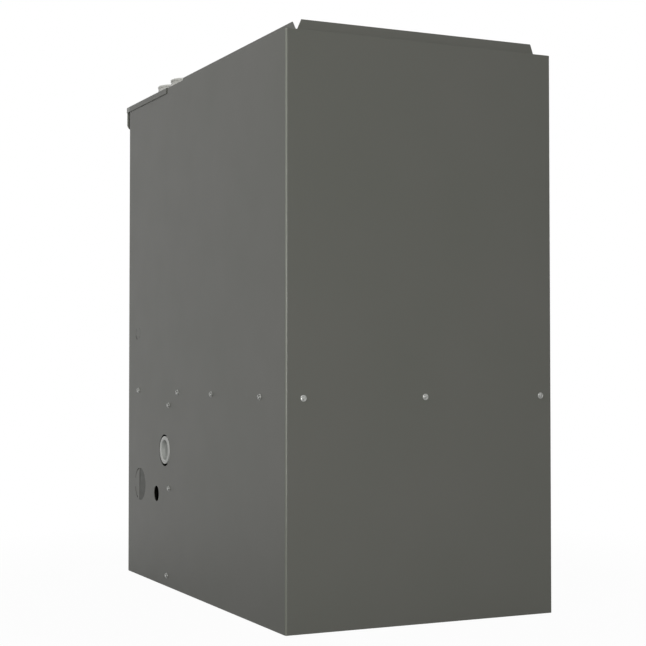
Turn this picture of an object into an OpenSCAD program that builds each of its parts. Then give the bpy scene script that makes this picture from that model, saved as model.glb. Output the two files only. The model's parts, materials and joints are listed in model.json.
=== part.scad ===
// Upflow condensing gas furnace: a folded sheet-steel cabinet with the blower
// below the deck and the burners, heat exchangers and draft inducer above it.
// Frame: origin at the centre of the cabinet's footprint on the floor, front
// towards -Y, back towards +Y, the furnace's right side towards +X, +Z up.

/* [Cabinet] */
// Width of the casing
casing_w = 450; // [446:2:470]
// Depth of the casing, without the lip of the front cap
casing_d = 722; // [716:2:740]
// Height of the casing, without the duct flanges
casing_h = 864; // [856:2:900]
// Sheet thickness
sheet = 1.2; // [1:0.1:1.4]
// Outside radius of the two rear bends
bend_r = 3; // [2:0.5:5]
// Height of the rear duct flange above the casing
flange_h = 17; // [10:1:25]
// Depth of the front cap, from the front of the casing backwards
cap_d = 210; // [206:1:212]
// How far the lip of the front cap stands out in front
lip_out = 14; // [10:1:20]
// Height of the lip of the front cap
lip_h = 41; // [38:1:44]

/* [Doors] */
// Gap round each door
door_gap = 2.5; // [2:0.5:4]
// Depth of the folded edge of each door
door_edge = 15.5; // [12:0.5:15.5]
// Diameter of the door knobs
knob_d = 36; // [28:1:44]

/* [Blower] */
// Height of the blower deck
deck_z = 324; // [320:1:328]
// Diameter of the blower wheel
wheel_d = 228; // [200:2:230]
// Width of the blower wheel
wheel_w = 200; // [180:2:204]
// Number of blades of the blower wheel
blades = 36; // [24:1:44]
// Diameter of the blower shaft
shaft_d = 12.7; // [10:0.1:14]

/* [Burners and heat exchangers] */
// Number of burners, and of heat exchanger tubes
burner_count = 4; // [3:1:4]
// Distance between neighbouring burners
burner_pitch = 80; // [76:1:82]
// Height of the burners
burner_z = 760; // [755:1:765]
// Outside diameter of the heat exchanger tubes
tube_d = 44; // [38:1:46]
// Number of fins drawn on the secondary coil
fins = 18; // [10:1:24]

/* [Pipes] */
// Outside diameter of the vent and air pipes
pipe_d = 60.3; // [48:0.1:62]
// Bore of the vent and air pipes
pipe_bore = 52.5; // [40:0.5:53]
// Height of the pipe ends above the casing
pipe_up = 33; // [20:1:60]

/* [Side openings] */
// Diameter of the hole for the trap port
port_hole_d = 55; // [52:1:60]
// Diameter of the drain hole
drain_hole_d = 27; // [22:1:30]
// Diameter of the large knockout
knockout_big_d = 58; // [50:1:62]
// Diameter of the small knockout
knockout_small_d = 24; // [22:1:30]

/* [Hidden] */
$fn = 48;

fit = 0.05;              // running and seating clearance in radius
near = 0.3;              // gap between pieces that only lie close
side_x = casing_w / 2;   // outer face of the right side
in_x = side_x - sheet;   // inner face of the right side
tray_x = in_x - 0.4;     // edge of a tray that lies between the sides
front_y = -casing_d / 2;
back_y = casing_d / 2;
tray_back = back_y - sheet - 0.7;

// front edges of the casing: a flange, a return and a stop for the doors
jamb_w = 14;
jamb_d = 17;
stop_w = 12;
stop_y = front_y + jamb_d;
door_w = casing_w - 2 * (jamb_w + door_gap);
rail_y = stop_y + 0.5;
rail_h = 20;

// duct flanges and the strip in front of the supply opening
side_inset = 20;
rear_inset = 10;
strip_y = front_y + cap_d;
duct_front_y = strip_y + 25;
duct_slope = 12;
rear_half_top = side_x - 29;
rear_half_base = side_x - 21.5;
rear_flange_y = back_y - rear_inset;
side_flange_top = casing_h + flange_h - 2.5;
front_flange_top = side_flange_top - 1;

// front cap
cap_z = casing_h;
cap_side_drop = 9;
cap_out = side_x + sheet + 0.1;
lip_y = front_y - lip_out;
lip_half = side_x + 0.4;
lip_r = 10;
lip_z = casing_h - lip_h;

// doors
split_z = deck_z + 13;
upper_lo = split_z + 2;
upper_hi = lip_z - 2;
lower_lo = 6;
lower_hi = split_z - 2;
face_in = front_y + sheet;
knob_r = 3;
upper_knob_at = [0, upper_hi - 21];
lower_knob_at = [0, deck_z - 12];
window_at = [-95, burner_z];
window_r = 16;
header_z = upper_knob_at[1] - 10;
stamp_d = 2;             // depth of the stamped field of each door
stamp_in = 48;           // from the side of a door to its field
field_back = front_y + stamp_d + sheet;
liner_t = 8;
sight_at = [-60, 255];

// screws
screw_r = 2;
screw_z = deck_z + 11;
side_screws = [[-302.6, screw_z], [-92.6, screw_z], [67, screw_z], [266.5, screw_z]];
trap_screws = [[-137, 312], [-135, 169]];
base_screw = [-145, 18.5];
rear_screws = [-205, -2, 197];

// side openings
port_at = [-157, 234];
port_hole_at = [-158, 233.5];
drain_at = [-201, 155.5];
knockout_big_at = [-291, 165.4];
knockout_small_at = [-307, 440];
slit_w = 1;
crease_y = -296;
press_angle = 3;
gas_hole_at = [-289, 650];
gas_hole_r = 20;

// base
base_rim = 28;
return_half = 188;
return_front = -300;
return_back = 325;

// blower
wheel_at = [60, 172];
wheel_r = wheel_d / 2;
wheel_in = wheel_r - 22;
scroll_start = wheel_r + 9;
scroll_end = wheel_r + 46;
cut_angle = 100;
house_half = wheel_w / 2 + 15;
house_in = house_half - sheet;
outlet_front = wheel_at[0] + scroll_start * cos(cut_angle);
outlet_back = wheel_at[0] + scroll_end;
motor_r = 62;
motor_lo = -128;
motor_hi = -20;
rail_lip_z = deck_z - 5.2;

// controls
board_y = -150;
board_lo = [-195, 170];
board_hi = [-35, 310];
switch_at = [-150, 300];

// burners
burner_x = [for (i = [0:burner_count - 1]) -155 + i * burner_pitch];
last_x = burner_x[burner_count - 1];
box_lo_x = burner_x[0] - 35;
box_hi_x = last_x + 27;
box_front = -262;
box_lo_z = burner_z - 36;
box_hi_z = burner_z + 40;
manifold_y = -289;
manifold_r = 13.35;
valve_x = -35;
valve_lo = [-75, -322, 615];
valve_hi = [5, -262, 700];
reset_x = [burner_x[0] + 40, last_x - 40];
reset_y = -205;

// heat exchangers
tube_r = tube_d / 2;
tube_in = tube_r - 1.2;
pass_step = 100;
bend_radius = pass_step / 2;
rear_bend_y = 255;
front_bend_y = -60;
collector_y = 292;
coil_lo = [-176, -148.8, 350];
coil_hi = [176, 291, 440];

// inducer
ind_at = [75, 455];
ind_wheel_r = 60;
ind_front = -259;
ind_back = -205;
ind_wall = 3;
vent_at = [157, -232];
air_at = [157, -302];
neck_r = 27;
neck_top = 540;
ind_max = vent_at[0] + neck_r - ind_at[0] - 2;
coupling_lo = 515;
coupling_mid = 542;
coupling_hi = 578;
pipe_lo = 545;
air_lo = 836;
pipe_hi = casing_h + pipe_up;

// condensate trap
trap_lo = [152, -196, 178];
trap_hi = [202, -118, 286];
hose_at = [168, -172];
hose_r = 9;

// harness routes: round numbers that follow the panels
main_route = [
    [-120, -190, 176], [-135, -205, 150], [-170, -240, 160], [-180, -250, 220],
    [-180, -250, 320], [-180, -250, 420], [-200, -250, 540], [-190, -290, 590],
    [-150, -327, 620], [-100, -327, 638], [-64.3, -327, 638]
];
inducer_route = [
    [-60, -190, 176], [-60, -210, 140], [-130, -240, 130], [-170, -260, 200],
    [-172, -262, 320], [-168, -262, 380], [-100, -290, 372], [0, -300, 380],
    [60, -292, 388], [75, -290, 396], [75, -290, 411.6]
];
pressure_route = [
    [-110, -202, 482], [-110, -222, 482], [-98, -240, 500], [-70, -240, 515],
    [-45, -234, 500], [-40, -232, 472], [-30, -232, 470], [-17.3, -232, 470]
];

// ---- helpers -------------------------------------------------------------

module block(lo, hi) translate(lo) cube(hi - lo);

module rod_x(x0, x1, y, z, r) translate([x0, y, z]) rotate([0, 90, 0]) cylinder(h = x1 - x0, r = r);
module rod_y(x, y0, y1, z, r) translate([x, y0, z]) rotate([-90, 0, 0]) cylinder(h = y1 - y0, r = r);
module rod_z(x, y, z0, z1, r) translate([x, y, z0]) cylinder(h = z1 - z0, r = r);

// a hole through the right (side 1) or left (side -1) wall
module side_hole(side, at, r) rod_x(side * side_x - 6, side * side_x + 6, at[0], at[1], r);

// a slab with the same four sides at the left and the right
module both_sides() for (s = [0, 1]) mirror([s, 0, 0]) children();

// centre-line smoothing: each round of corner cutting halves the steps
function cut_corners(p) = [
    p[0],
    for (i = [0:len(p) - 2]) each [p[i] * 0.75 + p[i + 1] * 0.25, p[i] * 0.25 + p[i + 1] * 0.75],
    p[len(p) - 1]
];
function unit(v) = v / norm(v);
function tangent(p, i) = unit(p[min(i + 1, len(p) - 1)] - p[max(i - 1, 0)]);
// a normal carried along the line without twist
function carried(p, i, n) = let (t = tangent(p, i)) unit(n - t * (n * t));
function normals(p, i = 0, n = [0.31, 0.17, 0.93]) =
    i >= len(p) ? [] : let (m = carried(p, i, n)) concat([m], normals(p, i + 1, m));

// a round flexible tube along a route, as one closed polyhedron
module hose(route, r, sides = 8) {
    p = cut_corners(cut_corners(route));
    n = normals(p);
    rings = len(p);
    points = [
        for (i = [0:rings - 1]) let (b = cross(tangent(p, i), n[i]))
        for (k = [0:sides - 1]) p[i] + r * (cos(360 * k / sides) * n[i] + sin(360 * k / sides) * b)
    ];
    walls = [
        for (i = [0:rings - 2]) for (k = [0:sides - 1])
        let (a = i * sides + k, c = i * sides + (k + 1) % sides)
        each [[a, c + sides, c], [a, a + sides, c + sides]]
    ];
    start_cap = [for (k = [1:sides - 2]) [0, k, k + 1]];
    last = (rings - 1) * sides;
    end_cap = [for (k = [1:sides - 2]) [last, last + k + 1, last + k]];
    polyhedron(points, concat(walls, start_cap, end_cap));
}

// ---- cabinet -------------------------------------------------------------

// plan of a box with two round rear corners
module rear_rounded(w, y0, y1, r) {
    translate([-w / 2, y0]) square([w, y1 - r - y0]);
    translate([-w / 2 + r, y0]) square([w - 2 * r, y1 - y0]);
    for (s = [-1, 1]) translate([s * (w / 2 - r), y1 - r]) circle(r);
}

module jamb_plan() {
    translate([side_x - jamb_w, front_y]) square([jamb_w, sheet]);
    translate([side_x - jamb_w, front_y]) square([sheet, jamb_d]);
    translate([side_x - jamb_w - stop_w, stop_y - sheet]) square([stop_w + sheet, sheet]);
}

// a curved slit round a knockout, from angle a0 to a1
module knockout_slit(at, r, a0, a1) {
    translate([side_x - 6, at[0], at[1]]) rotate([90, 0, 90])
    rotate([0, 0, a0]) rotate_extrude(angle = a1 - a0) translate([r - slit_w / 2, 0]) square([slit_w, 11]);
}

// the part of the large knockout behind its upright crease, cut free at the rim
module knockout_rear(r, deep) {
    intersection() {
        rod_x(side_x - deep, side_x + 1, knockout_big_at[0], knockout_big_at[1], r);
        block([side_x - deep, crease_y, knockout_big_at[1] - r],
              [side_x + 1, knockout_big_at[0] + r, knockout_big_at[1] + r]);
    }
}

// that part again, swung in about the crease
module knockout_pressed() {
    r = knockout_big_d / 2 - 0.4;
    intersection() {
        block([side_x - 12, crease_y - 1, knockout_big_at[1] - r],
              [side_x, knockout_big_at[0] + r, knockout_big_at[1] + r]);
        translate([side_x, crease_y, knockout_big_at[1]]) rotate([0, 0, press_angle]) intersection() {
            block([-sheet, -0.3, -r], [0, 2 * r, r]);
            rod_x(-5, 5, knockout_big_at[0] - crease_y, 0, r);
        }
    }
}

// the raised flange round the supply opening, with sloped ends
module side_duct_flange() {
    y0 = duct_front_y - 6;
    y1 = rear_flange_y + 2;
    translate([side_x - side_inset, 0, 0]) rotate([90, 0, 90]) linear_extrude(sheet)
    polygon([
        [y0, casing_h - sheet], [y1, casing_h - sheet], [y1, casing_h],
        [y1 - duct_slope, side_flange_top], [y0 + duct_slope, side_flange_top], [y0, casing_h]
    ]);
}

module rear_duct_flange() {
    translate([0, rear_flange_y, 0]) rotate([90, 0, 0]) linear_extrude(sheet)
    polygon([
        [-rear_half_base, casing_h - sheet], [rear_half_base, casing_h - sheet],
        [rear_half_base, casing_h], [rear_half_top, casing_h + flange_h],
        [-rear_half_top, casing_h + flange_h], [-rear_half_base, casing_h]
    ]);
}

module casing_wrap() color([0.44, 0.44, 0.43]) {
    difference() {
        union() {
            linear_extrude(casing_h - sheet / 2) difference() {
                rear_rounded(casing_w, front_y, back_y, bend_r);
                rear_rounded(casing_w - 2 * sheet, front_y - 1, back_y - sheet, bend_r - sheet);
            }
            both_sides() {
                linear_extrude(casing_h - sheet / 2) jamb_plan();
                block([side_x - 25, front_y, 0], [in_x + 0.1, back_y - bend_r, sheet]);
                block([side_x - side_inset, front_y, casing_h - sheet],
                      [side_x - 1, back_y - bend_r, casing_h]);
                side_duct_flange();
            }
            linear_extrude(sheet) intersection() {
                rear_rounded(casing_w, front_y, back_y, bend_r);
                translate([-side_x, back_y - 25]) square([casing_w, 25]);
            }
            translate([0, 0, casing_h - sheet]) linear_extrude(sheet) intersection() {
                rear_rounded(casing_w, front_y, back_y, bend_r);
                translate([-side_x, back_y - rear_inset - sheet]) square([casing_w, rear_inset + sheet]);
            }
            translate([0, 0, casing_h - sheet]) linear_extrude(sheet) difference() {
                rear_rounded(casing_w, front_y, back_y, bend_r);
                translate([-side_x + 2, front_y - 1]) square([casing_w - 4, casing_d]);
            }
            rear_duct_flange();
        }
        for (s = [-1, 1]) {
            for (at = side_screws) side_hole(s, at, screw_r + 0.1);
            side_hole(s, base_screw, screw_r + 0.1);
        }
        for (at = trap_screws) side_hole(1, at, screw_r + 0.1);
        for (x = rear_screws) rod_y(x, back_y - 6, back_y + 6, screw_z, screw_r + 0.1);
        side_hole(1, port_hole_at, port_hole_d / 2);
        side_hole(1, drain_at, drain_hole_d / 2);
        side_hole(-1, gas_hole_at, gas_hole_r);
        knockout_rear(knockout_big_d / 2, 6);
        knockout_slit(knockout_big_at, knockout_big_d / 2, 105, 165);
        knockout_slit(knockout_big_at, knockout_big_d / 2, 195, 245);
        knockout_slit(knockout_small_at, knockout_small_d / 2, 200, 250);
    }
    knockout_pressed();
}

// bottom frame round the return opening, screwed to the sides
module base_pan() color([0.55, 0.56, 0.56]) {
    edge_x = tray_x;
    rear = tray_back;
    difference() {
        union() {
            block([-edge_x, rail_y, sheet], [edge_x, rear, 2 * sheet]);
            for (s = [0, 1]) mirror([s, 0, 0]) {
                block([edge_x - sheet, rail_y, sheet], [edge_x, rear, base_rim]);
                block([return_half, return_front, sheet], [return_half + sheet, return_back, 14]);
            }
            block([-edge_x, rail_y, sheet], [edge_x, rail_y + sheet, base_rim]);
            block([-edge_x, rear - sheet, sheet], [edge_x, rear, base_rim]);
            block([-return_half - sheet, return_front - sheet, sheet],
                  [return_half + sheet, return_front, 14]);
            block([-return_half - sheet, return_back, sheet],
                  [return_half + sheet, return_back + sheet, 14]);
        }
        block([-return_half, return_front, 0], [return_half, return_back, 20]);
        for (s = [-1, 1]) side_hole(s, base_screw, screw_r + 0.1);
    }
}

// the face of the lip, round at its two lower corners and open at its ends
module lip_face() {
    translate([0, lip_y + sheet, 0]) rotate([90, 0, 0]) linear_extrude(sheet) {
        translate([-lip_half, lip_z + lip_r]) square([2 * lip_half, lip_h - lip_r + 0.5]);
        translate([-lip_half + lip_r, lip_z]) square([2 * (lip_half - lip_r), lip_r + 1]);
        for (s = [-1, 1]) translate([s * (lip_half - lip_r), lip_z + lip_r]) circle(lip_r);
    }
}

module front_cap() color([0.46, 0.46, 0.45]) {
    difference() {
        union() {
            block([-cap_out, lip_y, cap_z], [cap_out, strip_y, cap_z + sheet]);
            both_sides() block([cap_out - sheet, lip_y, cap_z - cap_side_drop],
                               [cap_out, strip_y, cap_z + sheet]);
            lip_face();
            block([-lip_half + lip_r, lip_y, lip_z], [lip_half - lip_r, front_y - 0.6, lip_z + sheet]);
        }
        for (at = [vent_at, air_at]) rod_z(at[0], at[1], cap_z - 5, cap_z + 5, pipe_d / 2 + 1.5);
    }
}

// cross rail behind the top of the upper door
module header_rail() color([0.5, 0.51, 0.51]) {
    difference() {
        union() {
            block([-in_x + 1, rail_y, header_z], [in_x - 1, rail_y + sheet, cap_z - sheet - 0.3]);
            block([-in_x + 1, rail_y, header_z], [in_x - 1, rail_y + 16, header_z + sheet]);
        }
        rod_y(upper_knob_at[0], rail_y - 5, rail_y + 5, upper_knob_at[1], knob_r + near);
    }
}

// the floor between the blower and the burner compartments
module blower_deck() color([0.55, 0.56, 0.56]) {
    edge_x = tray_x;
    rear = tray_back;
    top = deck_z + sheet + rail_h;
    difference() {
        union() {
            block([-edge_x, rail_y, deck_z], [edge_x, rear, deck_z + sheet]);
            both_sides() block([edge_x - sheet, rail_y, deck_z], [edge_x, rear, top]);
            block([-edge_x, rear - sheet, deck_z], [edge_x, rear, top]);
            block([-edge_x, rail_y, deck_z - 24], [edge_x, rail_y + sheet, top]);
        }
        block([-house_in, outlet_front, deck_z - 5], [house_in, outlet_back, deck_z + 5]);
        for (s = [-1, 1]) for (at = side_screws) side_hole(s, at, screw_r + 0.1);
        for (x = rear_screws) rod_y(x, back_y - 8, back_y + 6, screw_z, screw_r + 0.1);
        rod_z(main_route[4][0], main_route[4][1] - 5, deck_z - 5, deck_z + 5, 18);
        rod_z(hose_at[0], hose_at[1], deck_z - 5, deck_z + 5, 14);
        rod_y(lower_knob_at[0], rail_y - 5, rail_y + 5, lower_knob_at[1], knob_r + near);
        block([switch_at[0] - 10, rail_y - 3, switch_at[1] + 6],
              [switch_at[0] + 10, rail_y + 3, deck_z - 0.5]);
        for (s = [-1, 1])
            block([s * 120 - 12, rail_y - 3, upper_lo + 0.2], [s * 120 + 12, rail_y + 3, upper_lo + 4]);
    }
}

// wall between the burner and the heat exchanger compartments
module vestibule_panel() color([0.62, 0.63, 0.63]) {
    edge_x = tray_x;
    inner_x = side_x - side_inset - 0.3;
    difference() {
        union() {
            block([-edge_x, strip_y - sheet, deck_z + sheet + 0.1],
                  [edge_x, strip_y, casing_h - sheet - 0.1]);
            block([-inner_x, strip_y - sheet, casing_h - 2 * sheet],
                  [inner_x, duct_front_y, casing_h - sheet / 2]);
            block([-inner_x, duct_front_y - sheet, casing_h - sheet],
                  [inner_x, duct_front_y, front_flange_top]);
        }
        for (x = burner_x) rod_y(x, strip_y - 5, strip_y + 5, burner_z, tube_r + fit);
        block([coil_lo[0] + 8, strip_y - 5, coil_lo[2] + 6], [coil_hi[0] - 8, strip_y + 5, coil_hi[2] - 6]);
        rod_y(valve_x, strip_y - 5, strip_y + 5, 610, 8);
        both_sides() block([edge_x - sheet - 0.1, strip_y - 5, deck_z],
                           [edge_x + 1, strip_y + 5, deck_z + sheet + rail_h + 0.2]);
    }
}

// foil-faced lining on the three walls round the heat exchangers
module casing_insulation() color([0.78, 0.78, 0.76]) {
    lining = 10;
    hi_x = in_x - 0.3;
    rear = back_y - sheet - 0.3;
    lo_z = deck_z + sheet + rail_h + 0.3;
    translate([0, 0, lo_z]) linear_extrude(casing_h - sheet - 0.5 - lo_z) difference() {
        rear_rounded(2 * hi_x, strip_y + 1, rear, bend_r);
        translate([-hi_x + lining, strip_y]) square([2 * (hi_x - lining), rear - lining - strip_y]);
    }
}

// a hex washer-head screw along -X, its head outside x = 0
module screw() {
    rotate([0, 90, 0]) difference() {
        union() {
            translate([0, 0, -8]) cylinder(h = 8.5, r = screw_r);
            cylinder(h = 0.8, r = 4.7);
            cylinder(h = 2.8, r = 3.7, $fn = 6);
        }
        translate([0, 0, 1.5]) cylinder(h = 3, r = 2.3);
    }
}

module cabinet_screws() color([0.8, 0.8, 0.79]) {
    for (s = [0, 1]) mirror([s, 0, 0])
        for (at = concat(side_screws, [base_screw], s == 0 ? trap_screws : []))
            translate([side_x, at[0], at[1]]) screw();
    for (x = rear_screws) translate([x, back_y, screw_z]) rotate([0, 0, 90]) screw();
}

// ---- doors ---------------------------------------------------------------

// a shallow pan, open towards the inside, with a field stamped in between two heights
module door_pan(lo_z, hi_z, field_lo, field_hi) {
    half = door_w / 2;
    field = half - stamp_in;
    difference() {
        union() {
            difference() {
                block([-half, front_y, lo_z], [half, front_y + door_edge, hi_z]);
                block([-half + sheet, face_in, lo_z + sheet], [half - sheet, front_y + 30, hi_z - sheet]);
            }
            block([-field, front_y + sheet / 2, field_lo], [field, field_back, field_hi]);
        }
        block([-field + sheet, front_y - 1, field_lo + sheet],
              [field - sheet, front_y + stamp_d, field_hi - sheet]);
    }
}

module upper_door() color([0.45, 0.45, 0.44]) {
    difference() {
        union() {
            door_pan(upper_lo, upper_hi, upper_lo + 30, window_at[1] - 35);
            for (s = [-1, 1])
                block([s * 120 - 9, face_in - 0.1, upper_lo + 1], [s * 120 + 9, rail_y + 9, upper_lo + 3]);
        }
        rod_y(window_at[0], front_y - 5, front_y + 5, window_at[1], window_r + fit);
        rod_y(upper_knob_at[0], front_y - 5, front_y + 5, upper_knob_at[1], knob_r + fit);
    }
}

module lower_door() color([0.45, 0.45, 0.44]) {
    difference() {
        union() {
            door_pan(lower_lo, lower_hi, lower_lo + 30, sight_at[1] - 30);
            block([switch_at[0] - 8, face_in - 0.1, switch_at[1] + 8],
                  [switch_at[0] + 8, front_y + 22, switch_at[1] + 22]);
        }
        rod_y(lower_knob_at[0], front_y - 5, front_y + 5, lower_knob_at[1], knob_r + fit);
        rod_y(sight_at[0], front_y - 5, front_y + 5, sight_at[1], 8);
    }
}

// a thumbscrew: a ribbed knob with a plain shank through the door and the rail
module thumbscrew(at) {
    translate([at[0], front_y - near, at[1]]) rotate([90, 0, 0]) {
        difference() {
            cylinder(h = 12, r = knob_d / 2);
            for (k = [0:11]) rotate([0, 0, 30 * k]) translate([knob_d / 2 + 1.5, 0, 2])
                cylinder(h = 12, r = 3.2);
        }
        translate([0, 0, -jamb_d - 12]) cylinder(h = jamb_d + 13, r = knob_r);
    }
}

module upper_knob() color([0.16, 0.16, 0.16]) thumbscrew(upper_knob_at);
module lower_knob() color([0.16, 0.16, 0.16]) thumbscrew(lower_knob_at);

module burner_window() color([0.75, 0.8, 0.82]) {
    translate([window_at[0], front_y, window_at[1]]) rotate([90, 0, 0]) {
        difference() {
            union() {
                cylinder(h = 2.5, r = window_r + 5);
                translate([0, 0, -4]) cylinder(h = 5, r = window_r);
            }
            translate([0, 0, 1]) cylinder(h = 3, r = window_r - 2);
            translate([0, 0, -5]) cylinder(h = 3.5, r = window_r - 2);
        }
    }
}

module door_liner() color([0.8, 0.8, 0.78]) {
    difference() {
        block([-190, field_back, upper_lo + 14], [190, field_back + liner_t, upper_hi - 36]);
        rod_y(window_at[0], face_in - 1, field_back + liner_t + 1, window_at[1], window_r + 6);
    }
}

// ---- blower --------------------------------------------------------------

// radius of the scroll at angle a, from the cut-off round to the outlet
function scroll_r(a, r0, r1, a0) = r0 + (r1 - r0) * (a - a0) / (360 - a0);
function spiral(r0, r1, a0, steps) = [
    for (i = [0:steps]) let (a = a0 + (360 - a0) * i / steps)
    scroll_r(a, r0, r1, a0) * [cos(a), sin(a)]
];

// side view of the blower housing, pushed in by the wall thickness
module blower_outline(shrink) {
    r1 = scroll_end - shrink;
    top = deck_z + (shrink > 0 ? 5 : 0) - wheel_at[1];
    front = scroll_start * cos(cut_angle) + shrink;
    polygon(concat(
        spiral(scroll_start - shrink, r1, cut_angle, 40),
        [[r1, top], [front, top]]
    ));
}

module blower_housing() color([0.6, 0.61, 0.61]) {
    translate([-house_half, wheel_at[0], wheel_at[1]]) rotate([90, 0, 90]) difference() {
        linear_extrude(2 * house_half) blower_outline(0);
        translate([0, 0, sheet]) linear_extrude(2 * house_in) blower_outline(sheet);
        translate([0, 0, -1]) cylinder(h = 2 * house_half + 2, r = wheel_in);
    }
    both_sides() block([house_half - 0.1, outlet_front, rail_lip_z + sheet],
                       [house_half + 16, outlet_back, rail_lip_z + 2 * sheet]);
}

// two angle rails under the deck that the blower slides in on
module blower_rails() color([0.55, 0.56, 0.56]) {
    both_sides() {
        block([house_half + 2, outlet_front - 60, rail_lip_z],
              [house_half + 20, outlet_back + 30, rail_lip_z + sheet]);
        block([house_half + 20 - sheet, outlet_front - 60, rail_lip_z],
              [house_half + 20, outlet_back + 30, deck_z]);
    }
}

// section of one forward-curved blade, as a thin curved strip
module blade_section() {
    depth = wheel_r - wheel_in - 2;
    arc = [for (k = [0:4]) [wheel_in + 1 + depth * k / 4, 8 * pow(k / 4, 2)]];
    back = [for (k = [4:-1:0]) arc[k] + [0, 1]];
    polygon(concat(arc, back));
}

module blower_wheel() color([0.66, 0.67, 0.68]) {
    half = wheel_w / 2;
    translate([0, wheel_at[0], wheel_at[1]]) rotate([90, 0, 90]) difference() {
        union() {
            translate([0, 0, -half]) linear_extrude(wheel_w)
            for (k = [0:blades - 1]) rotate([0, 0, 360 * k / blades]) blade_section();
            for (z = [-half, half - 6]) translate([0, 0, z]) difference() {
                cylinder(h = 6, r = wheel_r);
                translate([0, 0, -1]) cylinder(h = 8, r = wheel_r - 8);
            }
            translate([0, 0, 10]) cylinder(h = 1.5, r = wheel_r - 4);
            cylinder(h = 34, r = 16);
        }
        translate([0, 0, -1]) cylinder(h = 40, r = shaft_d / 2);
    }
}

module motor_shaft() color([0.75, 0.76, 0.77])
    rod_x(motor_hi - 60, 38, wheel_at[0], wheel_at[1], shaft_d / 2);

module blower_motor() color([0.2, 0.2, 0.21]) {
    difference() {
        union() {
            rod_x(motor_lo + 10, motor_hi - 10, wheel_at[0], wheel_at[1], motor_r);
            rod_x(motor_lo, motor_hi, wheel_at[0], wheel_at[1], motor_r - 8);
            rod_x(motor_hi - 1, motor_hi + 6, wheel_at[0], wheel_at[1], 16);
        }
        rod_x(motor_hi - 61, motor_hi + 10, wheel_at[0], wheel_at[1], shaft_d / 2 + fit);
    }
}

// belly band round the motor with three arms to the housing
module motor_mount() color([0.7, 0.71, 0.72]) {
    translate([-house_half, wheel_at[0], wheel_at[1]]) rotate([90, 0, 90]) {
        difference() {
            union() {
                translate([0, 0, -2]) cylinder(h = 14, r = motor_r + 2.5);
                for (k = [0:2]) rotate([0, 0, 30 + 120 * k])
                    translate([motor_r + 1, -9, -3]) cube([46, 18, 3]);
            }
            translate([0, 0, -5]) cylinder(h = 30, r = motor_r);
        }
    }
}

module run_capacitor() color([0.7, 0.72, 0.74]) {
    rod_z(30, -176, 120, 200, 22);
    for (y = [-183, -169]) block([26, y - 1, 199], [34, y + 1, 212]);
    difference() {
        rod_z(30, -176, 154, 166, 24);
        rod_z(30, -176, 150, 170, 22);
    }
}

// ---- controls ------------------------------------------------------------

module control_bracket() color([0.6, 0.61, 0.61]) {
    block([-205, board_y - sheet, 110], [70, board_y, deck_z]);
    block([-205, board_y - sheet, deck_z - sheet], [70, board_y + 20, deck_z]);
    for (x = [-205, 70 - sheet]) block([x, board_y - 12, 110], [x + sheet, board_y, deck_z]);
}

module control_board() color([0.1, 0.4, 0.25]) {
    z_mid = (board_lo[1] + board_hi[1]) / 2;
    block([board_lo[0], board_y - 15, board_lo[1]], [board_hi[0], board_y - 13.4, board_hi[1]]);
    for (x = [board_lo[0] + 8, board_hi[0] - 8]) for (z = [board_lo[1] + 8, board_hi[1] - 8])
        rod_y(x, board_y - 14, board_y - sheet, z, 3.5);
    for (k = [0:3]) block([-184 + 34 * k, board_y - 33, 262], [-160 + 34 * k, board_y - 14.5, 286]);
    block([-180, board_y - 27, 182], [-130, board_y - 14.5, 196]);
    block([-110, board_y - 29, 182], [-84, board_y - 14.5, 194]);
    block([-176, board_y - 19, z_mid - 16], [-148, board_y - 14.5, z_mid + 2]);
    block([-70, board_y - 25, z_mid - 10], [-60, board_y - 14.5, z_mid + 8]);
}

module transformer() color([0.3, 0.3, 0.31]) {
    block([0, board_y - 52, 240], [56, board_y - 8, 290]);
    block([6, board_y - 60, 246], [50, board_y - 40, 284]);
    block([-8, board_y - 8, 244], [64, board_y - sheet, 286]);
}

module door_switch() color([0.15, 0.15, 0.15]) {
    z = switch_at[1] + 15;
    difference() {
        block([switch_at[0] - 14, -325, switch_at[1] + 5], [switch_at[0] + 14, -298, deck_z]);
        rod_y(switch_at[0], -326, -305, z, 4 + fit);
    }
}

module switch_plunger() color([0.85, 0.3, 0.15])
    rod_y(switch_at[0], front_y + 22.3, -306, switch_at[1] + 15, 4);

module wire_harness() color([0.2, 0.2, 0.22]) {
    hose(main_route, 4);
    hose(inducer_route, 2.5);
}

module junction_box() color([0.62, 0.63, 0.63]) {
    lo = [168, -338, 408];
    hi = [in_x - 0.2, -284, 480];
    difference() {
        block(lo, hi);
        block(lo + [sheet, sheet, sheet], hi - [sheet, sheet, sheet]);
        block([lo[0] + 8, lo[1] - 1, lo[2] + 8], [hi[0] - 8, lo[1] + 5, hi[2] - 8]);
        rod_x(hi[0] - 5, hi[0] + 5, knockout_small_at[0], knockout_small_at[1], 11);
    }
}

// ---- burners and gas -----------------------------------------------------

module burner_box() color([0.62, 0.63, 0.63]) {
    back = strip_y - sheet - 0.1;
    difference() {
        union() {
            block([box_lo_x, box_front, box_lo_z], [box_hi_x, back, box_lo_z + sheet]);
            block([box_lo_x, box_front, box_hi_z], [box_hi_x, back, box_hi_z + sheet]);
            block([box_lo_x, box_front, box_lo_z], [box_hi_x, box_front + sheet, box_hi_z]);
            for (x = [box_lo_x, box_hi_x - sheet])
                block([x, box_front, box_lo_z], [x + sheet, back, box_hi_z]);
            for (x = [box_lo_x - 12, box_hi_x - sheet])
                block([x, back - sheet, box_lo_z], [x + 12 + sheet, back, box_hi_z]);
        }
        for (x = burner_x) rod_y(x, box_front - 5, box_front + 5, burner_z, 17);
        for (x = reset_x) rod_z(x, reset_y, box_hi_z - 5, box_hi_z + 5, 7);
        rod_z(burner_x[0], -164, box_lo_z - 5, box_lo_z + 5, 6);
        rod_z(last_x, -164, box_lo_z - 5, box_lo_z + 5, 5);
    }
}

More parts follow.
